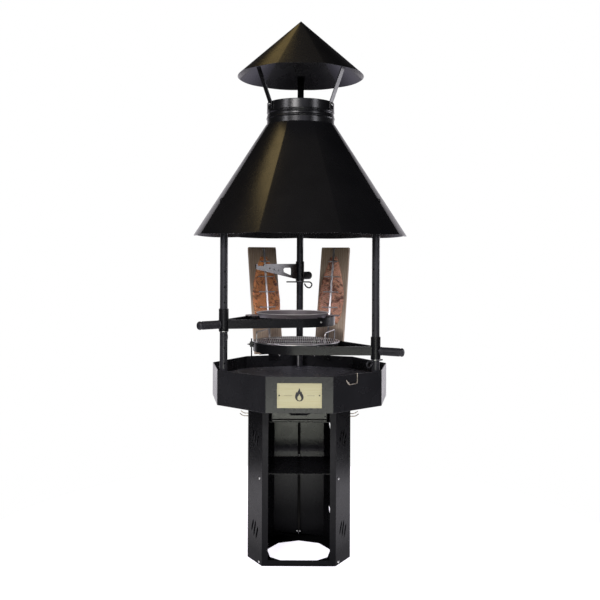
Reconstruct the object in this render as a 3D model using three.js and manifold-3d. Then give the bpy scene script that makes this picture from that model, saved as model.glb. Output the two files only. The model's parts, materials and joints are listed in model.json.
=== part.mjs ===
// Nine-sided outdoor wood grill with a smoke hood, swing arms, plank-roasting boards and a base cabinet.
// Millimetres, +Z up, -Y is the front. The origin is on the floor, below the grill's centre line.
import * as THREE from 'three';
import { mergeVertices } from 'three/addons/utils/BufferGeometryUtils.js';
import Module from 'manifold-3d';

const wasm = await Module();
wasm.setup();

// Driving dimensions
const GAP = 0.3;
const SHEET = 3;
const SIDES = 9;
const FACET = 360 / SIDES;
const HALF_FACET = FACET / 2;

const BRAZIER_RADIUS = 406;
const BRAZIER_BOTTOM = 693;
const BRAZIER_TOP = 842;
const FLOOR_EDGE_Z = 785;
const FLOOR_CENTRE_Z = 717;
const ASH_HOLE_RADIUS = 80;

const POST_RADIUS = 16.85;
const POST_WALL = 2.6;
const POST_CIRCLE = 377;
const POST_BEARINGS = { left: -60, right: 60, rear: 180 };
const POST_FOOT_Z = 784.4;
const POST_SIDES = 12;
const HOLE_PITCH = 65.25;
const PIN_HOLE_RADIUS = 4;

const HOOD_RIM_RADIUS = 485;
const HOOD_RIM_Z = 1427;
const HOOD_TOP_RADIUS = 160;
const HOOD_TOP_Z = 1921;
const HOOD_BOLT_Z = 1572;
const COLLAR_RADIUS = 152;
const COLLAR_TOP_Z = 2021;
const CAP_RIM_RADIUS = 287.5;
const CAP_RIM_Z = 2145;
const CAP_APEX_Z = 2397;
const STRUT_WIDTH = 30;
const STRUT_SCREW_Z = 2006;

const BASE_CORNERS = [[133, -185], [158, -185], [227, -70], [227, 19], [120, 204]];
const BASE_TOP = 762;
const SEAM = { y: 204, flangeEnd: 176, boltY: 186, boltZ: 30 };
const SHELF_TOP = 396;
const SLOT_ROWS = [145, 542];
const REAR_SLOT_SHIFT = { left: 22, right: 32 };

const SLEEVE_RADIUS = 21.2;
const BORE_RADIUS = 17.35;
const SLEEVE_HEIGHT = 96;
const PIN_RADIUS = 3.4;
const WASHER = 2.4;
const SLEEVE_SIDES = 24;
const STUB_RADIUS = 12.5;
const GRIP_RADIUS = 18.5;
const GRIP_START = 24;
const TAIL_RADIUS = 8;
const ARM_REACH = 390;
const HOOP_RADIUS = 193;
const HOOP_BAR = 5;
const PAN_PIN_Z = 1002.4;
const GRATE_PIN_Z = 884.5;
const POT_PIN_Z = 1204.6;
const PAN_ARM_HEADING = 41.2;
const GRATE_ARM_HEADING = 151.1;
const POT_ARM_HEADING = 237;

const PLANK = { width: 147, thickness: 20, length: 536, lean: 11, foot: 384 };
const PLANK_BEARINGS = { left: -156.5, right: 158 };

// Holes are a little wider than the screws that pass through them.
const CABINET_SCREW = { head: 6, rise: 3.5, shank: 2.9, hole: 3.3 };
const BOLT_HOLE = 3.4;
const HOOD_BOLT = { head: 8, rise: 5, shank: 3.8, length: 22, hole: 4.4, nut: 7 };

const COLOURS = {
  coat: ['#1c1c1e', 0.55, 0.3], stainless: ['#b8b2ae', 0.35, 0.9], zinc: ['#c9c9c6', 0.35, 0.9],
  brass: ['#cfc79a', 0.35, 0.8], pan: ['#5a5254', 0.45, 0.7], rubber: ['#141414', 0.8, 0],
  wood: ['#a8927a', 0.75, 0], salmon: ['#b5592b', 0.6, 0], hook: ['#b5aa98', 0.45, 0.6],
};

const grill = new THREE.Group();
const rad = THREE.MathUtils.degToRad;

// ---------- solids and placing ----------

// A closed three.js geometry as a solid: shared vertices merged, triangles with no area left out.
function solid(geometry) {
  const bare = geometry.index ? geometry.toNonIndexed() : geometry.clone();
  bare.deleteAttribute('normal');
  bare.deleteAttribute('uv');
  const merged = mergeVertices(bare, 1e-3);
  const triangles = [];
  for (let i = 0; i < merged.index.count; i += 3) {
    const [a, b, c] = [0, 1, 2].map((k) => merged.index.getX(i + k));
    if (a !== b && b !== c && c !== a) triangles.push(a, b, c);
  }
  return new wasm.Manifold(new wasm.Mesh({
    numProp: 3,
    vertProperties: new Float32Array(merged.attributes.position.array),
    triVerts: new Uint32Array(triangles),
  }));
}

function geometryOf(shape) {
  const mesh = shape.getMesh();
  const geometry = new THREE.BufferGeometry();
  geometry.setAttribute('position', new THREE.BufferAttribute(new Float32Array(mesh.vertProperties), 3));
  geometry.setIndex(new THREE.BufferAttribute(new Uint32Array(mesh.triVerts), 1));
  return geometry;
}

const join = (...shapes) => shapes.reduce((whole, shape) => whole.add(shape));
const cut = (body, ...tools) => tools.reduce((left, tool) => left.subtract(tool), body);

function add(name, shape, finish, parent = grill) {
  const [color, roughness, metalness] = COLOURS[finish];
  const geometry = shape.isBufferGeometry ? shape : geometryOf(shape);
  const mesh = new THREE.Mesh(geometry, new THREE.MeshStandardMaterial({ color, roughness, metalness }));
  mesh.name = name;
  parent.add(mesh);
  return mesh;
}

// A point at a bearing in degrees from the front, turning towards +X.
const polar = (radius, bearing) => [radius * Math.sin(rad(bearing)), -radius * Math.cos(rad(bearing))];

// Frames whose local z points outwards: on a radius at a bearing, or on a plan edge from p to q.
function frameAt(origin, along, outward) {
  const x = new THREE.Vector3(...along).normalize();
  const z = new THREE.Vector3(...outward).normalize();
  const y = new THREE.Vector3().crossVectors(z, x);
  return new THREE.Matrix4().makeBasis(x, y, z).setPosition(...origin);
}
function radialFrame(radius, bearing, z, tilt = 0) {
  const [x, y] = polar(1, bearing);
  const outward = [x * Math.cos(rad(tilt)), y * Math.cos(rad(tilt)), Math.sin(rad(tilt))];
  return frameAt([radius * x, radius * y, z], [-y, x, 0], outward);
}
function edgeFrame([px, py], [qx, qy], z) {
  return frameAt([(px + qx) / 2, (py + qy) / 2, z], [qx - px, qy - py, 0], [qy - py, px - qx, 0]);
}

// ---------- basic shapes ----------

const block = (x0, x1, y0, y1, z0, z1) => new THREE.BoxGeometry(x1 - x0, y1 - y0, z1 - z0)
  .translate((x0 + x1) / 2, (y0 + y1) / 2, (z0 + z1) / 2);

const drum = (radius, z0, z1, sides = 16, top = radius) =>
  new THREE.CylinderGeometry(top, radius, z1 - z0, sides, 1, false, Math.PI / sides)
    .rotateX(Math.PI / 2).translate(0, 0, (z0 + z1) / 2);

const nineSided = (bottom, top, z0, z1) =>
  new THREE.CylinderGeometry(top, bottom, z1 - z0, SIDES, 1, false, rad(HALF_FACET))
    .rotateX(Math.PI / 2).translate(0, 0, (z0 + z1) / 2);

// A profile of [radius, z] points turned round the z axis.
const turned = (profile, segments = 24) =>
  new THREE.LatheGeometry(profile.map(([r, z]) => new THREE.Vector2(r, z)), segments).rotateX(Math.PI / 2);

const shapeOf = (points) => new THREE.Shape(points.map(([x, y]) => new THREE.Vector2(x, y)));

const prism = (points, z0, z1) =>
  new THREE.ExtrudeGeometry(shapeOf(points), { depth: z1 - z0, bevelEnabled: false }).translate(0, 0, z0);

// An outline in the x-z plane, given thickness about y = 0.
const plate = (shape, thickness) =>
  new THREE.ExtrudeGeometry(shape, { depth: thickness, bevelEnabled: false, curveSegments: 6 })
    .rotateX(Math.PI / 2).translate(0, thickness / 2, 0);

const mirrored = (points) => points.map(([x, y]) => [-x, y]).reverse();

// A line of plan points moved sideways to its left.
function offset(points, distance) {
  return points.map((point, i) => {
    const before = points[i - 1] ?? point;
    const after = points[i + 1] ?? point;
    const normals = [[before, point], [point, after]].filter(([a, b]) => a !== b).map(([a, b]) => {
      const length = Math.hypot(b[0] - a[0], b[1] - a[1]);
      return [(a[1] - b[1]) / length, (b[0] - a[0]) / length];
    });
    const sum = normals.reduce(([x, y], n) => [x + n[0], y + n[1]], [0, 0]);
    const scale = (distance * normals.length) / (sum[0] ** 2 + sum[1] ** 2);
    return [point[0] + sum[0] * scale, point[1] + sum[1] * scale];
  });
}

// A bent round bar: straight lengths with a ball at each bend.
function bentRod(points, radius, sides = 6) {
  const ends = points.map((point) => new THREE.Vector3(...point));
  const lengths = ends.slice(1).map((end, i) => {
    const start = ends[i];
    const direction = end.clone().sub(start);
    const turn = new THREE.Quaternion()
      .setFromUnitVectors(new THREE.Vector3(0, 1, 0), direction.clone().normalize());
    const place = new THREE.Matrix4()
      .compose(start.clone().add(end).multiplyScalar(0.5), turn, new THREE.Vector3(1, 1, 1));
    return solid(new THREE.CylinderGeometry(radius, radius, direction.length(), sides).applyMatrix4(place));
  });
  const bends = ends.slice(1, -1)
    .map((bend) => solid(new THREE.SphereGeometry(radius, sides, 3).translate(...bend.toArray())));
  return join(...lengths, ...bends);
}

// A screw or bolt: head outside z = 0, shank inside.
const screw = (headRadius, headHeight, shankRadius, shankLength) => turned([
  [0, -shankLength], [shankRadius, -shankLength], [shankRadius, GAP], [headRadius, GAP],
  [headRadius * 0.7, GAP + headHeight], [0, GAP + headHeight],
], 8);

// ---------- nine-sided cones, folded from a round blank ----------

// Panels between creases are bowed: this share of the way from flat to the full round.
const BOW = 0.7;
const PANEL_STEPS = 4;
const CONE_SHEET = 2;

// A cone down from its apex, with a crease at each of nine bearings and bowed panels between them.
function panelCone(rimRadius, rimZ, apexZ) {
  const cone = new THREE.ConeGeometry(rimRadius, apexZ - rimZ, SIDES * PANEL_STEPS, 1, false, rad(HALF_FACET))
    .rotateX(Math.PI / 2).translate(0, 0, (apexZ + rimZ) / 2);
  const points = cone.attributes.position;
  for (let i = 0; i < points.count; i += 1) {
    const [x, y] = [points.getX(i), points.getY(i)];
    const bearing = THREE.MathUtils.radToDeg(Math.atan2(x, -y));
    const fromMiddle = bearing - FACET * Math.round(bearing / FACET);
    const flat = Math.cos(rad(HALF_FACET)) / Math.cos(rad(fromMiddle));
    const scale = flat * (1 - BOW) + BOW;
    points.setXY(i, x * scale, y * scale);
  }
  return cone;
}

// The rim of a folded round blank keeps one distance from the apex.
function blankDisc(apexZ, slant, rimRadius) {
  const arc = [0, 0.9, 0.925, 0.95, 0.975, 1, 1.025].map((part) => {
    const r = part * rimRadius;
    return [r, apexZ - Math.sqrt(slant ** 2 - r ** 2)];
  });
  return solid(turned([...arc, [rimRadius * 1.025, apexZ + 10], [0, apexZ + 10]], SIDES * PANEL_STEPS));
}

function conePoints(rimRadius, rimZ, apexZ) {
  const steepness = (apexZ - rimZ) / rimRadius;
  const facetSteepness = steepness / Math.cos(rad(HALF_FACET));
  return { steepness, drop: (t) => t * Math.sqrt(1 + facetSteepness ** 2) };
}

function foldedCone(rimRadius, rimZ, apexZ, thickness) {
  const { drop } = conePoints(rimRadius, rimZ, apexZ);
  const spread = 1.1;
  const height = apexZ - rimZ;
  const outer = solid(panelCone(rimRadius * spread, apexZ - height * spread, apexZ));
  const inner = outer.translate([0, 0, -drop(thickness)]);
  const slant = Math.hypot(rimRadius, height);
  return outer.subtract(inner).intersect(blankDisc(apexZ, slant, rimRadius));
}

const hoodApexZ = HOOD_RIM_Z
  + HOOD_RIM_RADIUS * (HOOD_TOP_Z - HOOD_RIM_Z) / (HOOD_RIM_RADIUS - HOOD_TOP_RADIUS);
const hoodCone = conePoints(HOOD_RIM_RADIUS, HOOD_RIM_Z, hoodApexZ);
const capCone = conePoints(CAP_RIM_RADIUS, CAP_RIM_Z, CAP_APEX_Z);
const SIDE_NAMES = Object.keys(POST_BEARINGS);

// ---------- base cabinet ----------

function buildBase() {
  const seamLine = [...BASE_CORNERS, [GAP / 2, SEAM.y], [GAP / 2, SEAM.flangeEnd]];
  const outline = [...seamLine, ...offset(seamLine, SHEET).reverse()];
  const floorSheet = brazierFloorTool();
  const frontFacet = [BASE_CORNERS[1], BASE_CORNERS[2]];
  const rearFacet = [BASE_CORNERS[3], BASE_CORNERS[4]];
  const sideFacet = [BASE_CORNERS[2], BASE_CORNERS[3]];
  const screwAcross = -41;
  const screwSpots = { lower: 12, upper: 371 };

  // Three leaf-shaped air slots side by side, leaning the same way on both shells.
  const leaf = (x, z, height) => shapeOf([
    [x + 11, z + height / 2], [x + 11, z + height * 0.2], [x, z - height * 0.3],
    [x - 11, z - height / 2], [x - 11, z - height * 0.2], [x, z + height * 0.3],
  ]);
  const leaves = [[-20, 9, 60], [0, 0, 78], [20, -14, 62]];
  const HOOKS = { front: -57, back: 6, z: 620, wire: 2.2, slack: 0.6, reach: 23, tip: 37, rise: 10 };
  const sideMiddle = (BASE_CORNERS[2][1] + BASE_CORNERS[3][1]) / 2;
  const alongEdge = (facet, side, along, z) => edgeFrame(...(side > 0 ? facet : mirrored(facet)), z)
    .multiply(new THREE.Matrix4().makeTranslation(side * along, 0, 0));
  const screwFrame = (side, z) => alongEdge(frontFacet, side, screwAcross, z);
  const slotTools = (name, side) => SLOT_ROWS.flatMap((rowZ) => [
    [frontFacet, 0], [rearFacet, REAR_SLOT_SHIFT[name]],
  ].flatMap(([facet, shift]) => leaves.map(([x, z, height]) => solid(
    new THREE.ExtrudeGeometry(leaf(x + side * shift, z, height), { depth: 3 * SHEET, bevelEnabled: false })
      .translate(0, 0, -2 * SHEET).applyMatrix4(alongEdge(facet, side, 0, rowZ)),
  ))));

  for (const [name, side] of [['left', -1], ['right', 1]]) {
    const corner = side > 0 ? outline : mirrored(outline);
    const holes = Object.values(screwSpots).map((z) =>
      solid(drum(CABINET_SCREW.hole, -2 * SHEET, SHEET).applyMatrix4(screwFrame(side, z))));
    const hookTools = [HOOKS.front, HOOKS.back].map((y) =>
      solid(drum(HOOKS.wire + HOOKS.slack, -2 * SHEET, SHEET, 8)
        .applyMatrix4(alongEdge(sideFacet, side, y - sideMiddle, HOOKS.z))));
    const seamHole = solid(drum(BOLT_HOLE, -10, 10, 8)
      .rotateY(Math.PI / 2).translate(0, SEAM.boltY, SEAM.boltZ));
    add(`base_shell_${name}`, cut(
      solid(prism(corner, SHEET + GAP, BASE_TOP)), floorSheet, seamHole,
      ...slotTools(name, side), ...holes, ...hookTools), 'coat');

    for (const [level, z] of Object.entries(screwSpots)) {
      const { head, rise, shank } = CABINET_SCREW;
      add(`base_screw_${level}_${name}`,
        screw(head, rise, shank, 9).applyMatrix4(screwFrame(side, z)), 'zinc');
    }

    // One bent wire makes both hooks: out through one hole, up at the tip, and back in by the other.
    const wallX = side * BASE_CORNERS[2][0];
    const reach = [[-4 - SHEET, 0], [HOOKS.reach, 0], [HOOKS.tip, HOOKS.rise]]
      .map(([out, up]) => [wallX + side * out, HOOKS.z + up]);
    const tip = reach.map(([x, z]) => [x, HOOKS.front, z]).reverse();
    const back = reach.map(([x, z]) => [x, HOOKS.back, z]);
    add(`tool_hooks_${name}`, bentRod([...tip, ...back], HOOKS.wire, 6), 'hook');
  }

  const bolt = join(
    solid(screw(7, 4, 3, 14)),
    solid(drum(6, -12, -SHEET * 2 - 2 * GAP, 6)),
  );
  add('seam_bolt', bolt.rotate([0, 90, 0]).translate([SHEET + GAP / 2, SEAM.boltY, SEAM.boltZ]), 'zinc');

  // Floor ring with a nine-sided hole and an upstanding flange inside the shells.
  const plan = [...BASE_CORNERS, ...mirrored(BASE_CORNERS)];
  const insideCorners = (distance) => offset([...BASE_CORNERS, [0, SEAM.y]], distance).slice(1, -1);
  const flangeLine = insideCorners(SHEET + GAP);
  const flangePlan = [...flangeLine, ...mirrored(flangeLine)];
  const innerLine = insideCorners(2 * SHEET + GAP);
  const innerPlan = [...innerLine, ...mirrored(innerLine)];
  const FLOOR_RING = { flange: 24, hole: 146, holeY: -10 };
  const flange = cut(solid(prism(flangePlan, 0, FLOOR_RING.flange)),
    solid(prism(innerPlan, SHEET, FLOOR_RING.flange + 1)));
  const seamNotch = solid(block(-SHEET - 2, SHEET + 2, 150, 210, SHEET + GAP, FLOOR_RING.flange + 1));
  const floorHole = solid(nineSided(FLOOR_RING.hole, FLOOR_RING.hole, -1, FLOOR_RING.flange)
    .translate(0, FLOOR_RING.holeY, 0));
  const flangeHoles = (z) => [-1, 1].map((side) =>
    solid(drum(CABINET_SCREW.hole, -12, 4).applyMatrix4(screwFrame(side, z))));
  add('base_floor_ring',
    cut(join(solid(prism(plan, 0, SHEET)), flange), floorHole, seamNotch, ...flangeHoles(screwSpots.lower)),
    'coat');

  // Shelf: a flat sheet with a skirt turned down along the shells, open at the front and behind.
  const shelfBack = 130;
  const [rearA, rearB] = flangeLine.slice(2);
  const backX = rearA[0] + (rearB[0] - rearA[0]) * (shelfBack - rearA[1]) / (rearB[1] - rearA[1]);
  const shelfLine = [...flangeLine.slice(0, 3), [backX, shelfBack]];
  const shelfSheet = 2;
  const skirtLine = insideCorners(SHEET + GAP + shelfSheet).slice(0, 3);
  skirtLine.push([backX - 2.5, shelfBack + 1]);
  const skirtFoot = SHELF_TOP - 36;
  const doorway = BASE_CORNERS[1][0] - 6;
  add('storage_shelf', cut(
    solid(prism([...shelfLine, ...mirrored(shelfLine)], skirtFoot, SHELF_TOP)),
    solid(prism([...skirtLine, ...mirrored(skirtLine)], skirtFoot - 4, SHELF_TOP - shelfSheet)),
    solid(block(-doorway, doorway, -190, -170, skirtFoot - 4, SHELF_TOP - shelfSheet)),
    ...flangeHoles(screwSpots.upper)), 'coat');
}

// ---------- ash drawer and its housing ----------

function buildDrawer() {
  const HOUSING = { halfWidth: 132.4, bottom: 617, front: -184.5, back: 150 };
  const DRAWER = { halfWidth: 117, bottom: 621.5, top: 688, front: -185, back: 136, wall: 2 };
  const { halfWidth, bottom, front, back } = HOUSING;
  const channel = cut(
    solid(block(-halfWidth, halfWidth, front, back, bottom, BASE_TOP)),
    solid(block(2 - halfWidth, halfWidth - 2, front - 1, back + 1, bottom + 2, BASE_TOP + 1)),
    brazierFloorTool(),
  );
  add('drawer_housing', channel, 'coat');

  const box = cut(
    solid(block(-DRAWER.halfWidth, DRAWER.halfWidth, DRAWER.front, DRAWER.back, DRAWER.bottom, DRAWER.top)),
    solid(block(DRAWER.wall - DRAWER.halfWidth, DRAWER.halfWidth - DRAWER.wall,
      DRAWER.front + 1, DRAWER.back - DRAWER.wall, DRAWER.bottom + DRAWER.wall, DRAWER.top + 1)),
  );
  const FACE = { halfWidth: 121.5, bottom: 626, top: 691, proud: 2.5 };
  const SLOT = { below: 643, above: 664, narrow: 40, wide: 52 };
  const face = block(
    -FACE.halfWidth, FACE.halfWidth, DRAWER.front - FACE.proud, DRAWER.front + 1.5, FACE.bottom, FACE.top);
  const gripHole = plate(shapeOf([[-SLOT.narrow, SLOT.below], [SLOT.narrow, SLOT.below],
    [SLOT.wide, SLOT.above], [-SLOT.wide, SLOT.above]]), 20).translate(0, DRAWER.front, 0);
  const lip = block(2 - SLOT.narrow, SLOT.narrow - 2, DRAWER.front - 16, DRAWER.front,
    SLOT.below - 2.5, SLOT.below - 0.2);
  add('ash_drawer', join(cut(join(box, solid(face)), solid(gripHole)), solid(lip)), 'coat');
}

// ---------- brazier ----------

// Everything above the underside of the brazier's sloping floor, for trimming what holds it up.
function brazierFloorTool() {
  const rise = (FLOOR_EDGE_Z - FLOOR_CENTRE_Z) / (BRAZIER_RADIUS * Math.cos(rad(HALF_FACET)) - SHEET);
  const wide = 460;
  const depth = rise * wide * Math.cos(rad(HALF_FACET));
  const low = FLOOR_CENTRE_Z - SHEET - GAP - 0.2;
  return join(solid(nineSided(0, wide, low, low + depth)), solid(nineSided(wide, wide, low + depth, 900)));
}

function buildBrazier() {
  const inner = BRAZIER_RADIUS - SHEET / Math.cos(rad(HALF_FACET));
  const rise = (FLOOR_EDGE_Z - FLOOR_CENTRE_Z) / (BRAZIER_RADIUS * Math.cos(rad(HALF_FACET)) - SHEET);
  add('brazier_walls', cut(
    solid(nineSided(BRAZIER_RADIUS, BRAZIER_RADIUS, BRAZIER_BOTTOM, BRAZIER_TOP)),
    solid(nineSided(inner, inner, BRAZIER_BOTTOM - 1, BRAZIER_TOP + 1)),
    ...[-1, 1].map((side) => solid(plateScrewHole(side)))), 'coat');

  const wide = 440;
  const depth = rise * wide * Math.cos(rad(HALF_FACET));
  const above = solid(nineSided(0, wide, FLOOR_CENTRE_Z, FLOOR_CENTRE_Z + depth));
  const sheet = above.translate([0, 0, -SHEET]).subtract(above)
    .intersect(solid(nineSided(inner - GAP, inner - GAP, 700, 900)));
  const STUB = { radius: 13.5, foot: 778, top: 850 };
  const stubs = SIDE_NAMES.map((name) => {
    const [x, y] = polar(POST_CIRCLE, POST_BEARINGS[name]);
    return solid(drum(STUB.radius, STUB.foot, STUB.top, POST_SIDES).translate(x, y, 0));
  });
  const hole = solid(nineSided(ASH_HOLE_RADIUS, ASH_HOLE_RADIUS, 700, 760));
  add('brazier_floor', cut(join(sheet, ...stubs), hole), 'coat');

  const EMBER = { radius: 104, thickness: 4, slotPitch: 24, slotHalf: 6, slotReach: 55 };
  const emberZ = FLOOR_CENTRE_Z + rise * EMBER.radius * Math.cos(rad(HALF_FACET)) + GAP;
  const slots = [-2, -1, 0, 1, 2].map((place) => place * EMBER.slotPitch).map((x) => solid(block(
    x - EMBER.slotHalf, x + EMBER.slotHalf, -EMBER.slotReach, EMBER.slotReach, emberZ - 1, emberZ + 6)));
  add('ember_grate', cut(
    solid(nineSided(EMBER.radius, EMBER.radius, emberZ, emberZ + EMBER.thickness)), ...slots), 'coat');
}

// ---------- name plate ----------

const PLATE = { halfWidth: 91, bottom: 714.5, top: 815.5, thickness: 1.5, screwX: 82, screwZ: 766 };
const frontFace = -BRAZIER_RADIUS * Math.cos(rad(HALF_FACET));
const plateScrewFrame = (side) =>
  frameAt([side * PLATE.screwX, frontFace - GAP - PLATE.thickness, PLATE.screwZ], [1, 0, 0], [0, -1, 0]);
const plateScrewHole = (side) => drum(2.1, -9, 4, 8).applyMatrix4(plateScrewFrame(side));

function buildPlate() {
  const { halfWidth, bottom, top, thickness } = PLATE;
  const front = frontFace - GAP - thickness;
  add('name_plate', cut(solid(block(-halfWidth, halfWidth, front, front + thickness, bottom, top)),
    ...[-1, 1].map((side) => solid(plateScrewHole(side)))), 'brass');
  for (const [name, side] of [['left', -1], ['right', 1]]) {
    add(`plate_screw_${name}`, screw(3.2, 1.6, 1.7, 7).applyMatrix4(plateScrewFrame(side)), 'zinc');
  }
}

// ---------- posts ----------

// Headings, in the post's own turn, of the rows of pin holes; the rear row faces sideways.
const POSTS = {
  left: { holes: 20, pinZ: PAN_PIN_Z, lowest: 2 },
  right: { holes: -45, pinZ: GRATE_PIN_Z, lowest: 0 },
  rear: { holes: 90, pinZ: POT_PIN_Z, lowest: 5 },
};
const HOLES_PER_POST = 7;

function buildPosts() {
  const { steepness } = hoodCone;
  const creaseTilt = THREE.MathUtils.radToDeg(Math.atan(1 / steepness));
  const creaseRadius = (z) => (hoodApexZ - z) / steepness;
  const lid = 3;
  const under = 8.5;
  const uncut = 1660;
  for (const name of SIDE_NAMES) {
    const bearing = POST_BEARINGS[name];
    const [x, y] = polar(POST_CIRCLE, bearing);
    const crease = radialFrame(creaseRadius(HOOD_BOLT_Z), bearing, HOOD_BOLT_Z, creaseTilt);
    const beyond = (depth) => solid(block(-150, 150, -150, 150, -depth, 200).applyMatrix4(crease));
    const outer = solid(drum(POST_RADIUS, POST_FOOT_Z, uncut, POST_SIDES).translate(x, y, 0));
    const bore = solid(drum(POST_RADIUS - POST_WALL, POST_FOOT_Z - 1, uncut, POST_SIDES).translate(x, y, 0));
    const { holes, pinZ, lowest } = POSTS[name];
    const [dx, dy] = polar(1, holes);
    const pinHoles = Array.from({ length: HOLES_PER_POST }, (_, i) => solid(
      drum(PIN_HOLE_RADIUS, -20, 20, 6)
        .applyMatrix4(frameAt([x, y, pinZ + (i - lowest) * HOLE_PITCH], [dy, -dx, 0], [dx, dy, 0])),
    ));
    const boltHole = solid(drum(HOOD_BOLT.hole, -40, 10, 8).applyMatrix4(crease));
    const tube = cut(cut(outer, beyond(under)), cut(bore, beyond(under + lid)));
    add(`post_${name}`, cut(tube, boltHole, ...pinHoles), 'coat');

    const { head, rise, shank, length, nut } = HOOD_BOLT;
    const bolt = join(solid(screw(head, rise, shank, length)), solid(drum(nut, -17, -under - lid - GAP, 6)));
    add(`hood_bolt_${name}`, geometryOf(bolt).applyMatrix4(crease), 'zinc');
  }
}

// ---------- hood, collar, struts and cap ----------

function buildHood() {
  const { steepness } = hoodCone;
  const creaseTilt = THREE.MathUtils.radToDeg(Math.atan(1 / steepness));
  const boltHoles = SIDE_NAMES.map((name) => solid(drum(HOOD_BOLT.hole, -12, 8, 8).applyMatrix4(
    radialFrame((hoodApexZ - HOOD_BOLT_Z) / steepness, POST_BEARINGS[name], HOOD_BOLT_Z, creaseTilt))));
  const hood = foldedCone(HOOD_RIM_RADIUS, HOOD_RIM_Z, hoodApexZ, CONE_SHEET);
  add('hood', cut(hood, solid(drum(300, HOOD_TOP_Z, 2400, 12)), ...boltHoles), 'coat');

  // The collar's lower edge tucks inside the hood; above it come a bead, a groove and the plain band.
  const r = COLLAR_RADIUS;
  const z = HOOD_TOP_Z + GAP;
  const collarHoles = SIDE_NAMES.map((name) => solid(drum(BOLT_HOLE, -8, 8, 8).applyMatrix4(
    radialFrame(r, POST_BEARINGS[name], STRUT_SCREW_Z))));
  const collar = turned([
    [r - 6.2, z - 30], [r - 6.2, z], [r, z], [r, 1946], [r + 3, 1951], [r, 1956], [r, 1965],
    [r - 2.5, 1969], [r, 1973], [r, COLLAR_TOP_Z], [r - 5, COLLAR_TOP_Z], [r - 5, 1930],
    [r - 8.7, 1924], [r - 8.7, z - 30], [r - 6.2, z - 30],
  ], 27);
  add('chimney_collar', cut(solid(collar), ...collarHoles), 'coat');

  const cap = foldedCone(CAP_RIM_RADIUS, CAP_RIM_Z, CAP_APEX_Z, CONE_SHEET);
  add('rain_cap', cap, 'coat');

  const foot = r + 3.3;
  const strutLine = [[foot, 1984], [foot, 2019], [222, 2188], [247, 2166]];
  const strutOutline = [...strutLine, ...offset(strutLine, -4).reverse()];
  const reach = 3;
  const underCap = solid(nineSided(
    CAP_RIM_RADIUS * reach, 0, CAP_APEX_Z - (CAP_APEX_Z - CAP_RIM_Z) * reach, CAP_APEX_Z))
    .translate([0, 0, -capCone.drop(CONE_SHEET) - GAP]);
  for (const name of SIDE_NAMES) {
    const bearing = POST_BEARINGS[name];
    const bar = plate(shapeOf(strutOutline), STRUT_WIDTH).rotateZ(rad(bearing - 90));
    const frame = radialFrame(foot + 4, bearing, STRUT_SCREW_Z);
    const hole = solid(drum(BOLT_HOLE, -8, 8, 8).applyMatrix4(frame));
    add(`cap_strut_${name}`, cut(solid(bar).intersect(underCap), hole), 'coat');
    add(`strut_screw_${name}`, screw(
      CABINET_SCREW.head, CABINET_SCREW.rise, CABINET_SCREW.shank, 14).applyMatrix4(frame), 'zinc');
  }
}

// ---------- swing arms ----------

// A group on a post whose local x axis runs along the arm and whose z = 0 is the sleeve's lower end.
function armFrame(post, heading, pinZ) {
  const group = new THREE.Group();
  const [x, y] = polar(POST_CIRCLE, POST_BEARINGS[post]);
  group.position.set(x, y, pinZ + PIN_RADIUS + WASHER + 2 * GAP);
  group.rotation.z = rad(heading);
  grill.add(group);
  return group;
}

const postBore = () => solid(drum(BORE_RADIUS, -200, 200, SLEEVE_SIDES));
const sleeve = () => solid(drum(SLEEVE_RADIUS, 0, SLEEVE_HEIGHT, SLEEVE_SIDES));
const gripStub = (length, z) =>
  solid(drum(STUB_RADIUS, 18, length, 12).rotateY(-Math.PI / 2).translate(0, 0, z));

function addWasher(name, parent) {
  const ring = cut(solid(drum(20, -WASHER - GAP, -GAP, SLEEVE_SIDES)), postBore());
  add(name, ring, 'zinc', parent);
}

// A rubber grip pushed over the arm's stub, closed at its outer end.
function addGrip(name, parent, z, end, radius) {
  const bore = STUB_RADIUS + 0.4;
  const start = GRIP_START;
  const profile = [
    [0, end - 8], [bore, end - 8], [bore, start], [radius - 2, start], [radius, start + 4],
    [radius, end - 6], [radius - 5, end], [0, end],
  ];
  add(name, turned(profile, 16).rotateY(-Math.PI / 2).translate(0, 0, z), 'rubber', parent);
}

// The outline round two circles, the large one at the arm's reach and the small one at the post.
function teardrop(large, small) {
  const lean = Math.acos((large - small) / ARM_REACH);
  const shape = new THREE.Shape();
  shape.absarc(ARM_REACH, 0, large, -Math.PI + lean, Math.PI - lean);
  shape.absarc(0, 0, small, Math.PI - lean, Math.PI + lean);
  return new THREE.ExtrudeGeometry(shape, { depth: 1, bevelEnabled: false, curveSegments: 18 });
}

function hoopArm(barZ, barHeight, gripZ) {
  const half = HOOP_BAR / 2;
  const band = (large, small, z0, z1) =>
    solid(teardrop(large, small).scale(1, 1, z1 - z0).translate(0, 0, z0));
  const bars = cut(
    band(HOOP_RADIUS + half, TAIL_RADIUS + half, barZ, barZ + barHeight),
    band(HOOP_RADIUS - half, TAIL_RADIUS - half, barZ - 1, barZ + barHeight + 1),
    solid(block(ARM_REACH - 90, ARM_REACH + 300, -300, 300, barZ - 1, barZ + barHeight + 1)),
  );
  const ring = cut(
    solid(drum(HOOP_RADIUS + half, barZ, barZ + barHeight, 48)),
    solid(drum(HOOP_RADIUS - half, barZ - 1, barZ + barHeight + 1, 48)),
  ).translate([ARM_REACH, 0, 0]);
  return cut(join(bars, ring, sleeve(), gripStub(118, gripZ)), postBore());
}

// A frame on the outside of an arm's hoop, at an angle from the arm's own direction.
const hoopFrame = (angle, z) => new THREE.Matrix4().makeTranslation(ARM_REACH, 0, 0)
  .multiply(radialFrame(HOOP_RADIUS + HOOP_BAR / 2, angle + 90, z));

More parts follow.
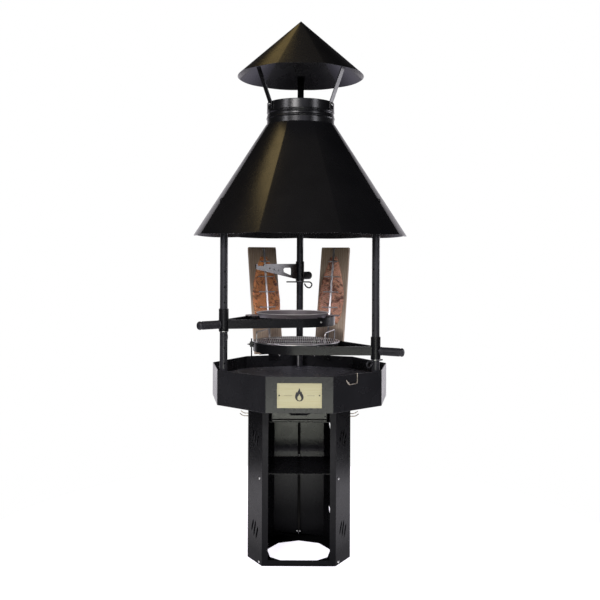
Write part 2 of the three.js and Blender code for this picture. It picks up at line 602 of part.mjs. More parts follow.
function buildPanArm() {
  const arm = armFrame('left', PAN_ARM_HEADING, PAN_PIN_Z);
  const barZ = 9.5;
  const barHeight = 39;
  const gripZ = 29;
  addWasher('pan_arm_washer', arm);
  const clipFrame = hoopFrame(-91.3, barZ);
  const CLIP = { half: 11, foot: 12, sheet: 3, inside: 1.5, boltUp: 21 };
  const clipBoltFrame = clipFrame.clone()
    .multiply(new THREE.Matrix4().makeTranslation(0, CLIP.boltUp, CLIP.sheet + GAP));
  const boltHole = drum(CABINET_SCREW.hole, -20, 8, 8);
  add('pan_arm_frame', cut(
    hoopArm(barZ, barHeight, gripZ), solid(boltHole.clone().applyMatrix4(clipBoltFrame))), 'coat', arm);
  addGrip('pan_arm_grip', arm, gripZ, 131, GRIP_RADIUS);

  // The clip hooks over the hoop and is bolted through it.
  const inside = -HOOP_BAR - CLIP.inside;
  const clip = cut(
    solid(block(-CLIP.half, CLIP.half, CLIP.foot, barHeight + 3.5, inside - CLIP.sheet, CLIP.sheet + GAP)),
    solid(block(-CLIP.half - 1, CLIP.half + 1, 0, barHeight + GAP, inside, GAP)),
    solid(boltHole.clone().translate(0, CLIP.boltUp, 0)),
  );
  add('pan_arm_clip', geometryOf(clip).applyMatrix4(clipFrame), 'coat', arm);
  add('pan_clip_bolt', screw(5.5, CABINET_SCREW.rise, CABINET_SCREW.shank, 18)
    .applyMatrix4(clipBoltFrame), 'zinc', arm);

  const pan = armFrame('left', PAN_ARM_HEADING, PAN_PIN_Z);
  const seat = barZ + barHeight + GAP;
  const rimTop = seat + 17;
  const rimRadius = 167.5;
  const ridge = seat + 10;
  const dish = turned([
    [0, seat - 13], [146, seat - 13], [163, ridge], [rimRadius, rimTop - 1.5], [rimRadius, rimTop],
    [rimRadius - 3.5, rimTop], [160, ridge], [144, seat - 10], [0, seat - 10],
  ], 36).translate(ARM_REACH, 0, 0);
  const ears = [0, 180].map((angle) => {
    const ear = shapeOf([[150, -34], [206, -28], [217, -16], [217, 16], [206, 28], [150, 34]]);
    return solid(new THREE.ExtrudeGeometry(ear, { depth: 4, bevelEnabled: false })
      .rotateZ(rad(angle - PAN_ARM_HEADING)).translate(ARM_REACH, 0, seat));
  });
  const hollow = solid(turned([[0, seat - 9.9], [143.9, seat - 9.9], [159.9, ridge],
    [rimRadius - 3.6, rimTop + 5], [0, rimTop + 5]], 36).translate(ARM_REACH, 0, 0));
  add('griddle_pan', cut(join(solid(dish), ...ears), hollow), 'pan', pan);
}

function buildGrateArm() {
  const arm = armFrame('right', GRATE_ARM_HEADING, GRATE_PIN_Z);
  const barZ = 16.4;
  const barHeight = 38;
  const gripZ = 35.5;
  const seat = barZ + barHeight + GAP;
  addWasher('grate_arm_washer', arm);

  // Lug outside the hoop's far side, with a stop rod and a wing screw that clamps it.
  const LUG = { half: 9, foot: 14, out: 14, rod: 3, rodLength: 100, screwUp: 26 };
  const lugFrame = hoopFrame(180 - GRATE_ARM_HEADING, barZ);
  const lug = solid(block(-LUG.half, LUG.half, LUG.foot, barHeight, -1, LUG.out).applyMatrix4(lugFrame));
  const rod = solid(new THREE.CylinderGeometry(LUG.rod, LUG.rod, LUG.rodLength, 8)
    .translate(0, 2, LUG.out / 2).applyMatrix4(lugFrame));
  const threadHole = solid(drum(2.9, 10, 20, 10).translate(0, LUG.screwUp, 0).applyMatrix4(lugFrame));
  add('grate_arm_frame', cut(join(hoopArm(barZ, barHeight, gripZ), lug, rod), threadHole), 'coat', arm);
  addGrip('grate_arm_grip', arm, gripZ, 128, GRIP_RADIUS);

  const wings = join(
    solid(drum(2.5, 11, 15, 8)), solid(drum(5, 14 + GAP, 20, 10)),
    ...[-1, 1].map((side) => solid(plate(shapeOf(
      [[side * 2, 16], [side * 12, 21], [side * 12, 27], [side * 7, 26], [side * 2, 20]]), 2))));
  add('grate_wing_screw', geometryOf(wings.translate([0, LUG.screwUp, 0])).applyMatrix4(lugFrame),
    'zinc', arm);

  // Round grate: rim wire, parallel bars, two lift handles and three legs that keep it in the hoop.
  const grate = new THREE.Group();
  grate.position.set(...polar(POST_CIRCLE, POST_BEARINGS.right), arm.position.z);
  grate.rotation.z = rad(GRATE_ARM_HEADING);
  grill.add(grate);
  const wire = 3;
  const outerWire = HOOP_RADIUS;
  const rim = solid(turned([[-wire, 0], [wire, 0], [wire, 6], [-wire, 6], [-wire, 0]].map(([out, up]) => [
    outerWire + out, seat + up,
  ]), 36));
  const worldTurn = (shape) => shape.rotate([0, 0, -GRATE_ARM_HEADING]).translate([ARM_REACH, 0, 0]);
  const barPitch = 28;
  const outermostBar = 6 * barPitch;
  const crossBars = [-112, 0, 112];
  const halfBar = 2.5;
  const bars = [];
  for (let x = -outermostBar; x <= outermostBar; x += barPitch) {
    const reach = Math.sqrt(outerWire ** 2 - x ** 2);
    bars.push(solid(block(x - halfBar, x + halfBar, -reach, reach, seat + 0.8, seat + 5.2)));
  }
  for (const y of crossBars) {
    const reach = Math.sqrt(outerWire ** 2 - y ** 2);
    bars.push(solid(block(-reach, reach, y - halfBar, y + halfBar, seat + 0.4, seat + 4.4)));
  }
  const handleTop = seat + 49;
  const handleFeet = [[126, -112], [176, 76]];
  const handles = [1, -1].map((side) => {
    const [a, b] = handleFeet.map(([x, y]) => [side * x, side * y]);
    return bentRod([[...a, seat + 2], [...a, handleTop], [...b, handleTop], [...b, seat + 2]], halfBar, 6);
  });
  const LEG = { bearings: [2.8, 205.5, 152.5], radius: 184, depth: 85 };
  const legs = LEG.bearings.map((bearing) => bentRod([
    [...polar(outerWire, bearing), seat + 3], [...polar(LEG.radius, bearing), seat + 3],
    [...polar(LEG.radius, bearing), seat - LEG.depth]], halfBar, 6));
  add('cooking_grate', worldTurn(join(rim, ...bars, ...handles, ...legs)), 'stainless', grate);
}

function buildPotArm() {
  const arm = armFrame('rear', POT_ARM_HEADING, POT_PIN_Z);
  addWasher('pot_arm_washer', arm);
  const blade = new THREE.Shape([
    [19, 8], [30, 8], [78, 14.5], [205, 35], [366, 59], [373, 61], [373, 84], [361, 84], [361, 75.5],
    [312, 75.5], [308, 84], [19, 84],
  ].map(([x, z]) => new THREE.Vector2(x, z)));
  blade.holes.push(new THREE.Path([
    [78, 31], [78, 58], [84, 65], [140, 65], [150, 58], [146, 46], [138, 42], [84, 28],
  ].map(([x, z]) => new THREE.Vector2(x, z))));
  for (const [x, z] of [[265, 63], [229, 58], [192, 53]]) {
    const hole = new THREE.Path();
    hole.absarc(x, z, 4.5, 0, 2 * Math.PI);
    blade.holes.push(hole);
  }
  const gripZ = 25;
  const bladeSheet = 5;
  add('pot_arm_blade', cut(
    join(solid(plate(blade, bladeSheet)), sleeve(), gripStub(74, gripZ)), postBore()), 'coat', arm);
  addGrip('pot_arm_grip', arm, gripZ, 88, 20);
}

// ---------- locking pins ----------

// A straight shank through the post, bent back below into a hanging loop.
function addPin(name, post, heading, shank, loop) {
  const [x, y] = polar(POST_CIRCLE, POST_BEARINGS[post]);
  const points = [[-shank, 0], [22 + loop * 0.75, 0], [22 + loop, -loop * 0.32],
    [22 + loop * 0.7, -loop * 0.78], [22 + loop * 0.25, -loop * 0.62], [23, -9]];
  const pin = bentRod(points.map(([along, up]) => [along, 0, up]), PIN_RADIUS);
  const mesh = add(name, pin, 'zinc');
  mesh.position.set(x, y, POSTS[post].pinZ);
  mesh.rotation.z = rad(heading);
}

function buildPins() {
  const quarter = 90;
  addPin('pan_arm_pin', 'left', POSTS.left.holes - quarter, 30, 40);
  addPin('grate_arm_pin', 'right', POSTS.right.holes - quarter, 45, 38);
  addPin('pot_arm_pin', 'rear', POSTS.rear.holes - quarter, 66, 40);
}

// ---------- rim hook ----------

function buildRimHook() {
  const wire = 2.2;
  const inner = BRAZIER_RADIUS * Math.cos(rad(HALF_FACET)) - SHEET - wire - GAP;
  const face = BRAZIER_RADIUS * Math.cos(rad(HALF_FACET)) + wire + GAP;
  const frame = radialFrame(0, FACET, 0);
  const top = BRAZIER_TOP + wire + GAP;
  const across = -8;
  const hook = bentRod([
    [across, top - 30, inner], [across, top, inner], [across, top, face], [across, top - 40, face],
    [across - 48, top - 42, face], [across - 62, top - 22, face],
  ], wire, 6);
  add('rim_hook', geometryOf(hook).applyMatrix4(frame), 'hook');
}

// ---------- roasting planks ----------

// Local frame of a plank: x across, y up its face, z outwards, with its foot on the brazier's rim.
function plankGroup(side) {
  const bearing = PLANK_BEARINGS[side];
  const group = new THREE.Group();
  group.applyMatrix4(radialFrame(PLANK.foot, bearing, BRAZIER_TOP + 8, -PLANK.lean));
  grill.add(group);
  return group;
}

function buildPlank(side) {
  const group = plankGroup(side);
  const half = PLANK.width / 2;
  const thick = PLANK.thickness / 2;
  add(`plank_${side}`, block(-half, half, 0, PLANK.length, -thick, thick), 'wood', group);

  // Steel holder: a shoe under the plank with a back plate, and a clip that straddles the rim.
  const HOLDER = { half: 45, front: 16, back: 62, sheet: 2, clipHalf: 25, clipDepth: 26, slack: 0.5 };
  const skin = thick + GAP + HOLDER.sheet;
  const shoe = cut(
    solid(block(-HOLDER.half, HOLDER.half, -GAP - 3, HOLDER.back, -skin, skin)),
    solid(block(-HOLDER.half - 1, HOLDER.half + 1, -GAP, HOLDER.back + 1, -thick - GAP, thick + GAP)),
    solid(block(-HOLDER.half - 1, HOLDER.half + 1, HOLDER.front, HOLDER.back + 1, -skin - 1, 0)),
  );
  const face = BRAZIER_RADIUS * Math.cos(rad(HALF_FACET));
  const { clipHalf, clipDepth, slack } = HOLDER;
  const clipSkin = slack + GAP + HOLDER.sheet;
  const clip = cut(
    solid(block(-clipHalf, clipHalf, -clipDepth, 6.5, -SHEET - clipSkin, clipSkin)),
    solid(block(-clipHalf - 1, clipHalf + 1, -clipDepth - 1, GAP, -SHEET - slack, slack)),
  );
  const clipFrame = radialFrame(face, Math.round(PLANK_BEARINGS[side] / FACET) * FACET, BRAZIER_TOP);
  const toPlank = group.matrix.clone().invert().multiply(clipFrame);
  const clipInPlank = solid(geometryOf(clip).applyMatrix4(toPlank));
  add(`plank_holder_${side}`, join(shoe, clipInPlank), 'coat', group);

  // Fillet lying on the inner face of the plank, narrow end up.
  const outline = new THREE.Shape();
  const [cx, low, high] = [side === 'left' ? -3 : 3, 150, 486];
  outline.moveTo(cx - 40, low);
  outline.bezierCurveTo(cx - 66, low + 60, cx - 66, high - 130, cx - 16, high);
  outline.lineTo(cx + 14, high);
  outline.bezierCurveTo(cx + 62, high - 110, cx + 70, low + 80, cx + 30, low + 14);
  outline.lineTo(cx - 40, low);
  const filletDepth = 16;
  const fillet = new THREE.ExtrudeGeometry(
    outline, { depth: filletDepth, bevelEnabled: false, curveSegments: 8 })
    .translate(0, 0, -thick - GAP - filletDepth);
  add(`salmon_fillet_${side}`, fillet, 'salmon', group);

  // Rack over the fillet: a flat bar bent to the plank at both ends, with four cross rods.
  const over = -thick - 2 * GAP - filletDepth;
  const RACK = { half: 5, start: 40, end: PLANK.length - 8, sheet: 3.5, foot: 4, rod: 2.8 };
  const barPart = (from, to, back, front) => solid(block(-RACK.half, RACK.half, from, to, back, front));
  const bar = join(
    barPart(RACK.start, RACK.end, over - RACK.sheet, over),
    barPart(RACK.start, RACK.start + RACK.foot, over - 2, -thick - GAP),
    barPart(RACK.end - RACK.foot, RACK.end, over - 2, -thick - GAP),
  );
  const rodReach = { 228: 40, 305: 40, 382: 40, 459: 24 };
  const rods = Object.entries(rodReach).map(([y, reach]) =>
    solid(new THREE.CylinderGeometry(RACK.rod, RACK.rod, 2 * reach, 6).rotateZ(Math.PI / 2)
      .translate(0, Number(y), over - RACK.rod - 0.1)));
  add(`fish_rack_${side}`, join(bar, ...rods), 'stainless', group);
}

buildBase();
buildDrawer();
buildBrazier();
buildPlate();
buildPosts();
buildHood();
buildPanArm();
buildGrateArm();
buildPotArm();
buildPins();
buildRimHook();
buildPlank('left');
buildPlank('right');

export default grill;
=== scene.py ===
"""Looks of a nine-sided outdoor wood grill: fine meshes, materials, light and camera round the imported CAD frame.

Shapes are written in millimetres, in the row frame, and to_bmesh() turns them into metres. Materials, camera,
lights and floor are in metres. Bearings are degrees from the front (-Y), turning towards +X.
"""
import json
import math
import bmesh
import bpy
from mathutils import Matrix, Vector, noise


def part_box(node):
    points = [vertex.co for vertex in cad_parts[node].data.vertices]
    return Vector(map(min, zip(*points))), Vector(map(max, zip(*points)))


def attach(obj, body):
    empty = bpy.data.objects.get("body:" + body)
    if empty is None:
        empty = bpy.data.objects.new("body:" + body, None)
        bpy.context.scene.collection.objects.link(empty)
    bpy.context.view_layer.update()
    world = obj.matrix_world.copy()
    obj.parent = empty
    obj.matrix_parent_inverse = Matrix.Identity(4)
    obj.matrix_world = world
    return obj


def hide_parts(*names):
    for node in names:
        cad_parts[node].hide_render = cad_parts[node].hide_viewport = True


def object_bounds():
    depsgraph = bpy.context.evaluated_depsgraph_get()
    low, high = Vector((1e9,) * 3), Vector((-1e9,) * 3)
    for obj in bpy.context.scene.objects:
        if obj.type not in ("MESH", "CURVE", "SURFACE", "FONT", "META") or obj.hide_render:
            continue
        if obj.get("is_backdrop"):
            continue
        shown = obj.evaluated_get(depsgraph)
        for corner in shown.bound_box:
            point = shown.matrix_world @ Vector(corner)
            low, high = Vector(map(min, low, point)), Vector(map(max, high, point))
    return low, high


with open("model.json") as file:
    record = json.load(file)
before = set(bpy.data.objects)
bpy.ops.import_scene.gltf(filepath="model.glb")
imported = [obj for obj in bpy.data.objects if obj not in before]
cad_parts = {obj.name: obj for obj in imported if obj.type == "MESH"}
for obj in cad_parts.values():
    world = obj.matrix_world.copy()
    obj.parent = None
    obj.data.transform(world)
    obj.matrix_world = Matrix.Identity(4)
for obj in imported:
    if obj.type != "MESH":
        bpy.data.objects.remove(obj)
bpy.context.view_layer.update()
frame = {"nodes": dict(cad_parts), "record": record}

MM = 0.001
BODY_OF = {node: body for body, nodes in frame["record"]["behaviour"]["bodies"].items() for node in nodes}
SIDES = 9
FACET = 360 / SIDES
HALF_FACET = FACET / 2
APOTHEM = math.cos(math.radians(HALF_FACET))
SHEET = 3


# ---------- places read from the frame ----------

def low(node):
    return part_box(node)[0] / MM


def high(node):
    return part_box(node)[1] / MM


def middle(node):
    return (low(node) + high(node)) / 2


def toward(bearing):
    angle = math.radians(bearing)
    return Vector((math.sin(angle), -math.cos(angle), 0))


def right_of(run):
    """The level direction to the right of a run."""
    return Vector((run.y, -run.x, 0)).normalized()


def turn(degrees, axis="Z"):
    return Matrix.Rotation(math.radians(degrees), 4, axis)


def on_post(side, z, heading=0):
    """A place on the middle line of a post, turned to a heading."""
    axis = middle(f"post_{side}")
    return Matrix.Translation((axis.x, axis.y, z)) @ turn(heading)


def frame_at(origin, along, outward):
    """A place whose local x runs along, z points outward and y completes them."""
    z = Vector(outward).normalized()
    x = Vector(along).normalized()
    y = z.cross(x)
    return Matrix.Translation(origin) @ Matrix((x, y, z)).transposed().to_4x4()


FACING_FRONT = ((1, 0, 0), (0, -1, 0))


def radial_frame(radius, bearing, z, tilt=0):
    out = toward(bearing)
    outward = out * math.cos(math.radians(tilt)) + Vector((0, 0, math.sin(math.radians(tilt))))
    return frame_at(out * radius + Vector((0, 0, z)), (-out.y, out.x, 0), outward)


# ---------- closed shapes ----------

class Shape:
    """Points in millimetres and the faces between them."""

    def __init__(self, points=(), faces=()):
        self.points = [Vector(p) for p in points]
        self.faces = [tuple(face) for face in faces]

    def __add__(self, other):
        first = len(self.points)
        moved = [tuple(i + first for i in face) for face in other.faces]
        return Shape(self.points + other.points, self.faces + moved)

    def placed(self, matrix):
        return Shape([matrix @ p for p in self.points], self.faces)

    def at(self, x, y, z):
        return self.placed(Matrix.Translation((x, y, z)))

    def bent(self, rule):
        return Shape([rule(p) for p in self.points], self.faces)


def merged(shapes):
    whole = Shape()
    for shape in shapes:
        whole = whole + shape
    return whole


def lofted(rings, ends="cap"):
    """Rings of points joined one to the next. The ends are capped, joined to each other, or come to a point."""
    count = len(rings[0])
    spans = len(rings) if ends == "loop" else len(rings) - 1
    faces = []
    for i in range(spans):
        here, there = i * count, (i + 1) % len(rings) * count
        for j in range(count):
            k = (j + 1) % count
            faces.append((here + j, here + k, there + k, there + j))
    if ends == "cap":
        faces.append(tuple(reversed(range(count))))
        faces.append(tuple(range((len(rings) - 1) * count, len(rings) * count)))
    return Shape([p for ring in rings for p in ring], faces)


def around(count):
    """The angles of that many even steps round a circle."""
    return [2 * math.pi * i / count for i in range(count)]


def turned(profile, sides, ends="point"):
    """A profile of (radius, z) turned round the z axis. A third value of 1 makes that ring a hexagon."""
    rings = []
    for radius, z, *hexagon in profile:
        ring = []
        for angle in around(sides):
            in_side = (angle + math.pi / 6) % (math.pi / 3) - math.pi / 6
            share = math.cos(math.pi / 6) / math.cos(in_side) if hexagon and hexagon[0] else 1
            ring.append((radius * share * math.cos(angle), radius * share * math.sin(angle), z))
        rings.append(ring)
    return lofted(rings, ends)


def rounded(points, radius, steps=6, closed=False):
    """The line with each corner replaced by a curve that starts radius before it."""
    line = [Vector(p) for p in points]
    result = []
    for i, corner in enumerate(line):
        if not closed and i in (0, len(line) - 1):
            result.append(corner)
            continue
        before, after = line[i - 1], line[(i + 1) % len(line)]
        reach = min(radius, 0.48 * (before - corner).length, 0.48 * (after - corner).length)
        start = corner + (before - corner).normalized() * reach
        end = corner + (after - corner).normalized() * reach
        for step in range(steps + 1):
            t = step / steps
            result.append(start * (1 - t) ** 2 + corner * (2 * t * (1 - t)) + end * t ** 2)
    return result


def directions(line, closed=False):
    """Where a line runs at each of its points."""
    last = len(line) - 1
    spans = [((i + 1) % len(line), i - 1) if closed else (min(i + 1, last), max(i - 1, 0)) for i in range(len(line))]
    return [(line[ahead] - line[behind]).normalized() for ahead, behind in spans]


def wire(points, radius, bend, sides=12, closed=False):
    """A round wire along a line whose corners are bent with that radius; its ends are rounded off."""
    line = rounded(points, bend, closed=closed)
    runs = directions(line, closed)
    side = runs[0].orthogonal().normalized()
    rings = []
    for point, tangent in zip(line, runs):
        side = (side - tangent * side.dot(tangent)).normalized()
        up = tangent.cross(side)
        rings.append([point + (side * math.cos(a) + up * math.sin(a)) * radius for a in around(sides)])
    if closed:
        return lofted(rings, "loop")

    end_share, end_reach = 0.6, 0.5

    def shrunk(ring, centre, outward):
        return [centre + (p - centre) * end_share + outward * radius * end_reach for p in ring]
    return lofted([shrunk(rings[0], line[0], -runs[0]), *rings, shrunk(rings[-1], line[-1], runs[-1])])


def band(path, outward, section):
    """A section of (out, z) points carried round a closed path, each step turned by its outward direction."""
    return lofted([[p + n * out + Vector((0, 0, z)) for out, z in section] for p, n in zip(path, outward)], "loop")


def rectangle(x0, x1, y0, y1):
    return [(x0, y0), (x1, y0), (x1, y1), (x0, y1)]


def soft_outline(corners, radius, steps):
    """The (x, y) points of a closed outline whose corners are rounded."""
    return [(p.x, p.y) for p in rounded([(*corner, 0) for corner in corners], radius, steps, closed=True)]


def soft_box(x0, x1, y0, y1, radius, steps=3):
    return soft_outline(rectangle(x0, x1, y0, y1), radius, steps)


def sheet(outline, z0, z1, edge=0.6):
    """A flat outline of (x, y) points made into a plate with eased edges."""
    points = [Vector((x, y, 0)) for x, y in outline]
    count = len(points)
    inward = []
    for i, p in enumerate(points):
        run = (p - points[i - 1]).normalized() + (points[(i + 1) % count] - p).normalized()
        inward.append(Vector((-run.y, run.x, 0)).normalized())
    area = sum(points[i - 1].x * p.y - p.x * points[i - 1].y for i, p in enumerate(points))
    sign = 1 if area > 0 else -1

    def ring(z, shift):
        return [p + n * sign * shift + Vector((0, 0, z)) for p, n in zip(points, inward)]
    return lofted([ring(z0, edge), ring(z0 + edge, 0), ring(z1 - edge, 0), ring(z1, edge)])


def folded_outline(fold):
    """Points and outward directions round a nine-sided ring of unit radius whose corners are arcs."""
    arc_steps, flat_steps = 5, 8
    points, outward = [], []
    centre = 1 - fold / APOTHEM
    for side in range(SIDES):
        corner = HALF_FACET + FACET * side
        for step in range(arc_steps + 1):
            n = toward(corner - HALF_FACET + FACET * step / arc_steps)
            points.append(toward(corner) * centre + n * fold)
            outward.append(n)
        n = toward(corner + HALF_FACET)
        start = points[-1]
        end = toward(corner + FACET) * centre + n * fold
        for step in range(1, flat_steps):
            points.append(start.lerp(end, step / flat_steps))
            outward.append(n)
    return points, outward


def bowed_outline():
    """Points and outward directions round a ring of unit radius: nine soft creases with bowed panels between."""
    bow = 0.7
    offsets = [0.25, 0.8, 1.8, 3.2] + [5 + 30 * i / 10 for i in range(11)] + [36.8, 38.2, 39.2, 39.75]

    def point(bearing):
        from_middle = (bearing + HALF_FACET) % FACET - HALF_FACET
        flat = APOTHEM / math.cos(math.radians(from_middle))
        return toward(bearing) * (flat * (1 - bow) + bow)
    bearings = [HALF_FACET + FACET * side + offset for side in range(SIDES) for offset in offsets]
    step = 0.1
    outward = [right_of(point(bearing + step) - point(bearing - step)) for bearing in bearings]
    return [point(bearing) for bearing in bearings], outward


def folded_cone(rim_radius, rim_z, apex_z, top_z):
    """A creased cone of sheet made from a round blank, so that its rim keeps one distance from the apex."""
    thickness, rows = 2, 14
    ripple, ripple_length, calm_rows = 0.35, 130, 3
    lip_bulge = 0.3
    points, outward = bowed_outline()
    height = apex_z - rim_z
    blank = math.hypot(rim_radius, height)
    facet_run = rim_radius * APOTHEM
    facet_slant = math.hypot(facet_run, height)

    def point(p, share):
        return Vector((p.x * rim_radius * share, p.y * rim_radius * share, apex_z - height * share))

    def normal(n):
        return (n * height + Vector((0, 0, facet_run))) / facet_slant

    def on_sheet(p, n, row, depth=0):
        first = (apex_z - top_z) / height
        last = blank / math.hypot(rim_radius * p.length, height)
        place = point(p, first + (last - first) * row / rows)
        wave = noise.noise(place / ripple_length) * ripple * min(1, row / calm_rows)
        return place + normal(n) * wave - normal(n) * depth

    outer = [[on_sheet(p, n, row) for p, n in zip(points, outward)] for row in range(rows + 1)]
    inner = [[on_sheet(p, n, row, thickness) for p, n in zip(points, outward)] for row in range(rows, -1, -1)]
    lip = [(a + b) / 2 + (a - c).normalized() * thickness * lip_bulge
           for a, b, c in zip(outer[-1], inner[0], outer[-2])]
    if top_z < apex_z:
        return lofted(outer + [lip] + inner, "loop")
    drop = thickness * facet_slant / facet_run
    tip = [[Vector((0, 0, apex_z - drop))] * len(points)]
    return lofted(outer + [lip] + inner[:-1] + tip, "point")


# ---------- materials ----------

class Nodes:
    """A node tree and short calls for the nodes used here."""

    def __init__(self, tree):
        self.tree = tree

    def feed(self, socket, value):
        """Gives a socket another node's output, or a plain value."""
        if isinstance(value, bpy.types.NodeSocket):
            self.tree.links.new(value, socket)
        else:
            socket.default_value = value

    def node(self, kind, **inputs):
        node = self.tree.nodes.new(f"ShaderNode{kind}")
        for name, value in inputs.items():
            self.feed(node.inputs[name.replace("_", " ")], value)
        return node

    def spread(self, value, start, end, first, last):
        """Goes from first to last while the value goes from start to end."""
        return self.node("MapRange", Value=value, From_Min=start, From_Max=end, To_Min=first,
                         To_Max=last).outputs["Result"]

    def ramp(self, factor, *stops):
        """Colours (or greys, given as one number) at positions along a factor."""
        node = self.node("ValToRGB", Fac=factor)
        elements = node.color_ramp.elements
        while len(elements) < len(stops):
            elements.new(0.5)
        for element, (position, colour) in zip(elements, stops):
            element.position = position
            value = (colour,) * 3 if isinstance(colour, (int, float)) else colour
            element.color = (*value, 1)
        return node.outputs["Color"]

    def mix(self, kind, factor, a, b):
        """Mixes two colour outputs; the factor is a number or an output."""
        node = self.node("Mix")
        node.data_type = "RGBA"
        node.blend_type = kind
        for socket, value in zip((s for s in node.inputs if s.enabled), (factor, a, b)):
            self.feed(socket, value)
        return next(s for s in node.outputs if s.enabled)

    def calculated(self, operation, *values):
        node = self.node("Math")
        node.operation = operation
        for socket, value in zip(node.inputs, values):
            self.feed(socket, value)
        return node.outputs["Value"]


class Finish(Nodes):
    """A Principled material and short calls for the patterns that shape it. Lengths are in metres."""

    def __init__(self, name, **fixed):
        self.material = bpy.data.materials.new(name)
        self.material.use_nodes = True
        super().__init__(self.material.node_tree)
        self.shader = self.tree.nodes["Principled BSDF"]
        for socket, value in fixed.items():
            self.shade(socket, value)
        self.place = self.node("TexCoord").outputs["Object"]

    def shade(self, socket, value):
        self.feed(self.shader.inputs[socket.replace("_", " ")], value)

    def stretched(self, *scale):
        return self.node("Mapping", Vector=self.place, Scale=scale).outputs["Vector"]

    def noise(self, scale, detail, roughness=0.55, distortion=0.0, place=None):
        return self.node("TexNoise", Vector=place or self.place, Scale=scale, Detail=detail, Roughness=roughness,
                         Distortion=distortion).outputs["Fac"]

    def waves(self, distortion, detail_scale, place, direction="X"):
        node = self.node("TexWave", Vector=place, Scale=1, Distortion=distortion, Detail_Scale=detail_scale)
        node.bands_direction = direction
        return node.outputs["Fac"]

    def coordinate(self, axis):
        return self.node("SeparateXYZ", Vector=self.place).outputs[axis]

    def inside(self, **box):
        """1 in a box given as (middle, reach) along its axes, and in its mirror image across x = 0; else 0."""
        inside = 1
        for axis, (middle, reach) in box.items():
            value = self.coordinate(axis)
            if axis == "X":
                value = self.calculated("ABSOLUTE", value)
            inside = self.calculated("MULTIPLY", inside, self.calculated("COMPARE", value, middle, reach))
        return inside

    def colour(self, output):
        self.shade("Base_Color", output)

    def rough(self, output):
        self.shade("Roughness", output)

    def mottle(self, socket, scale, detail, low_value, high_value):
        """Lets a socket vary with noise of that scale and detail."""
        self.shade(socket, self.ramp(self.noise(scale, detail), (0.3, low_value), (0.8, high_value)))

    def bumps(self, *layers):
        """Layers of (height output, strength, distance), the first one underneath."""
        below = {}
        for height, strength, distance in layers:
            bump = self.node("Bump", Height=height, Strength=strength, Distance=distance, **below)
            below = {"Normal": bump.outputs["Normal"]}
        self.shade("Normal", below["Normal"])


# Where the cabinet's sheet was cut: (middle, reach) along each axis. At the rear seam the coat also loses its
# reflection, as painted shade.
DOORWAY_LIPS = {"X": (0.1445, 0.0185), "Y": (-0.1865, 0.0035), "Z": (0.34, 0.36)}
REAR_SEAM_SHADE = {"X": (0, 0.0062), "Y": (0.1875, 0.0175), "Z": (0.34, 0.36)}
# Heights over which the coat's reflection fades to its foot value: painted shade low in the cabinet.
PAINTED_SHADE_HEIGHTS = (0.05, 0.62)
SHINE_IN_PAINTED_SHADE = 0.03


def black_coat(name="powder_coat", painted_light_gain=1, shine=0.37):
    """Satin powder coat, rougher where the cabinet's sheet was cut, with painted shade where its reflection fades
    low down and vanishes in the rear seam. Its second argument multiplies its colour; above 1 it makes a lighter
    copy whose extra colour is painted light.
    """
    f = Finish(name)
    dark, pale = [tuple(c * painted_light_gain for c in tone) for tone in ((0.0052, 0.0052, 0.0060), (0.0078, 0.0078, 0.0088))]
    f.colour(f.ramp(f.noise(5, 4), (0.3, dark), (0.75, pale)))
    satin = f.ramp(f.noise(14, 5), (0.3, 0.24), (0.72, 0.30))
    cut_edge = f.ramp(f.noise(60, 3), (0.3, 0.62), (0.7, 0.74))
    lips, seam_shade = f.inside(**DOORWAY_LIPS), f.inside(**REAR_SEAM_SHADE)
    f.rough(f.mix("MIX", seam_shade, f.mix("MIX", lips, satin, cut_edge), cut_edge))
    # Painted shade: the reflection fades towards the cabinet's foot.
    painted_shade_by_height = f.spread(f.coordinate("Z"), *PAINTED_SHADE_HEIGHTS, SHINE_IN_PAINTED_SHADE, shine)
    # Painted shade: no reflection at the rear seam.
    f.shade("Specular_IOR_Level", f.calculated("MULTIPLY", painted_shade_by_height, f.spread(seam_shade, 0, 1, 1, 0)))
    f.bumps((f.noise(260, 2), 0.06, 0.0006), (f.noise(1500, 2), 0.05, 0.0003))
    return f.material


def mottled(name, colours, roughness, grain, **fixed):
    """Colour and roughness as given to Finish.mottle, and a grain of (noise scale, detail, strength, distance)."""
    f = Finish(name, **fixed)
    f.mottle("Base_Color", *colours)
    f.mottle("Roughness", *roughness)
    scale, detail, strength, distance = grain
    f.bumps((f.noise(scale, detail), strength, distance))
    return f.material


def zinc():
    f = Finish("zinc_plate", Metallic=1.0)
    crystals = f.node("TexVoronoi", Vector=f.place, Scale=160).outputs["Color"]
    f.colour(f.ramp(crystals, (0.2, (0.50, 0.50, 0.49)), (0.9, (0.74, 0.74, 0.72))))
    f.mottle("Roughness", 260, 4, 0.22, 0.42)
    f.bumps((f.noise(900, 3), 0.2, 0.0002))
    return f.material


def brushed_brass():
    f = Finish("brushed_brass", Metallic=0.85)
    brushed = f.noise(1, 4, place=f.stretched(9, 900, 900))
    f.colour(f.ramp(brushed, (0.3, (0.36, 0.325, 0.20)), (0.7, (0.46, 0.43, 0.31))))
    f.rough(f.ramp(brushed, (0.3, 0.38), (0.75, 0.50)))
    f.bumps((brushed, 0.15, 0.0002))
    return f.material


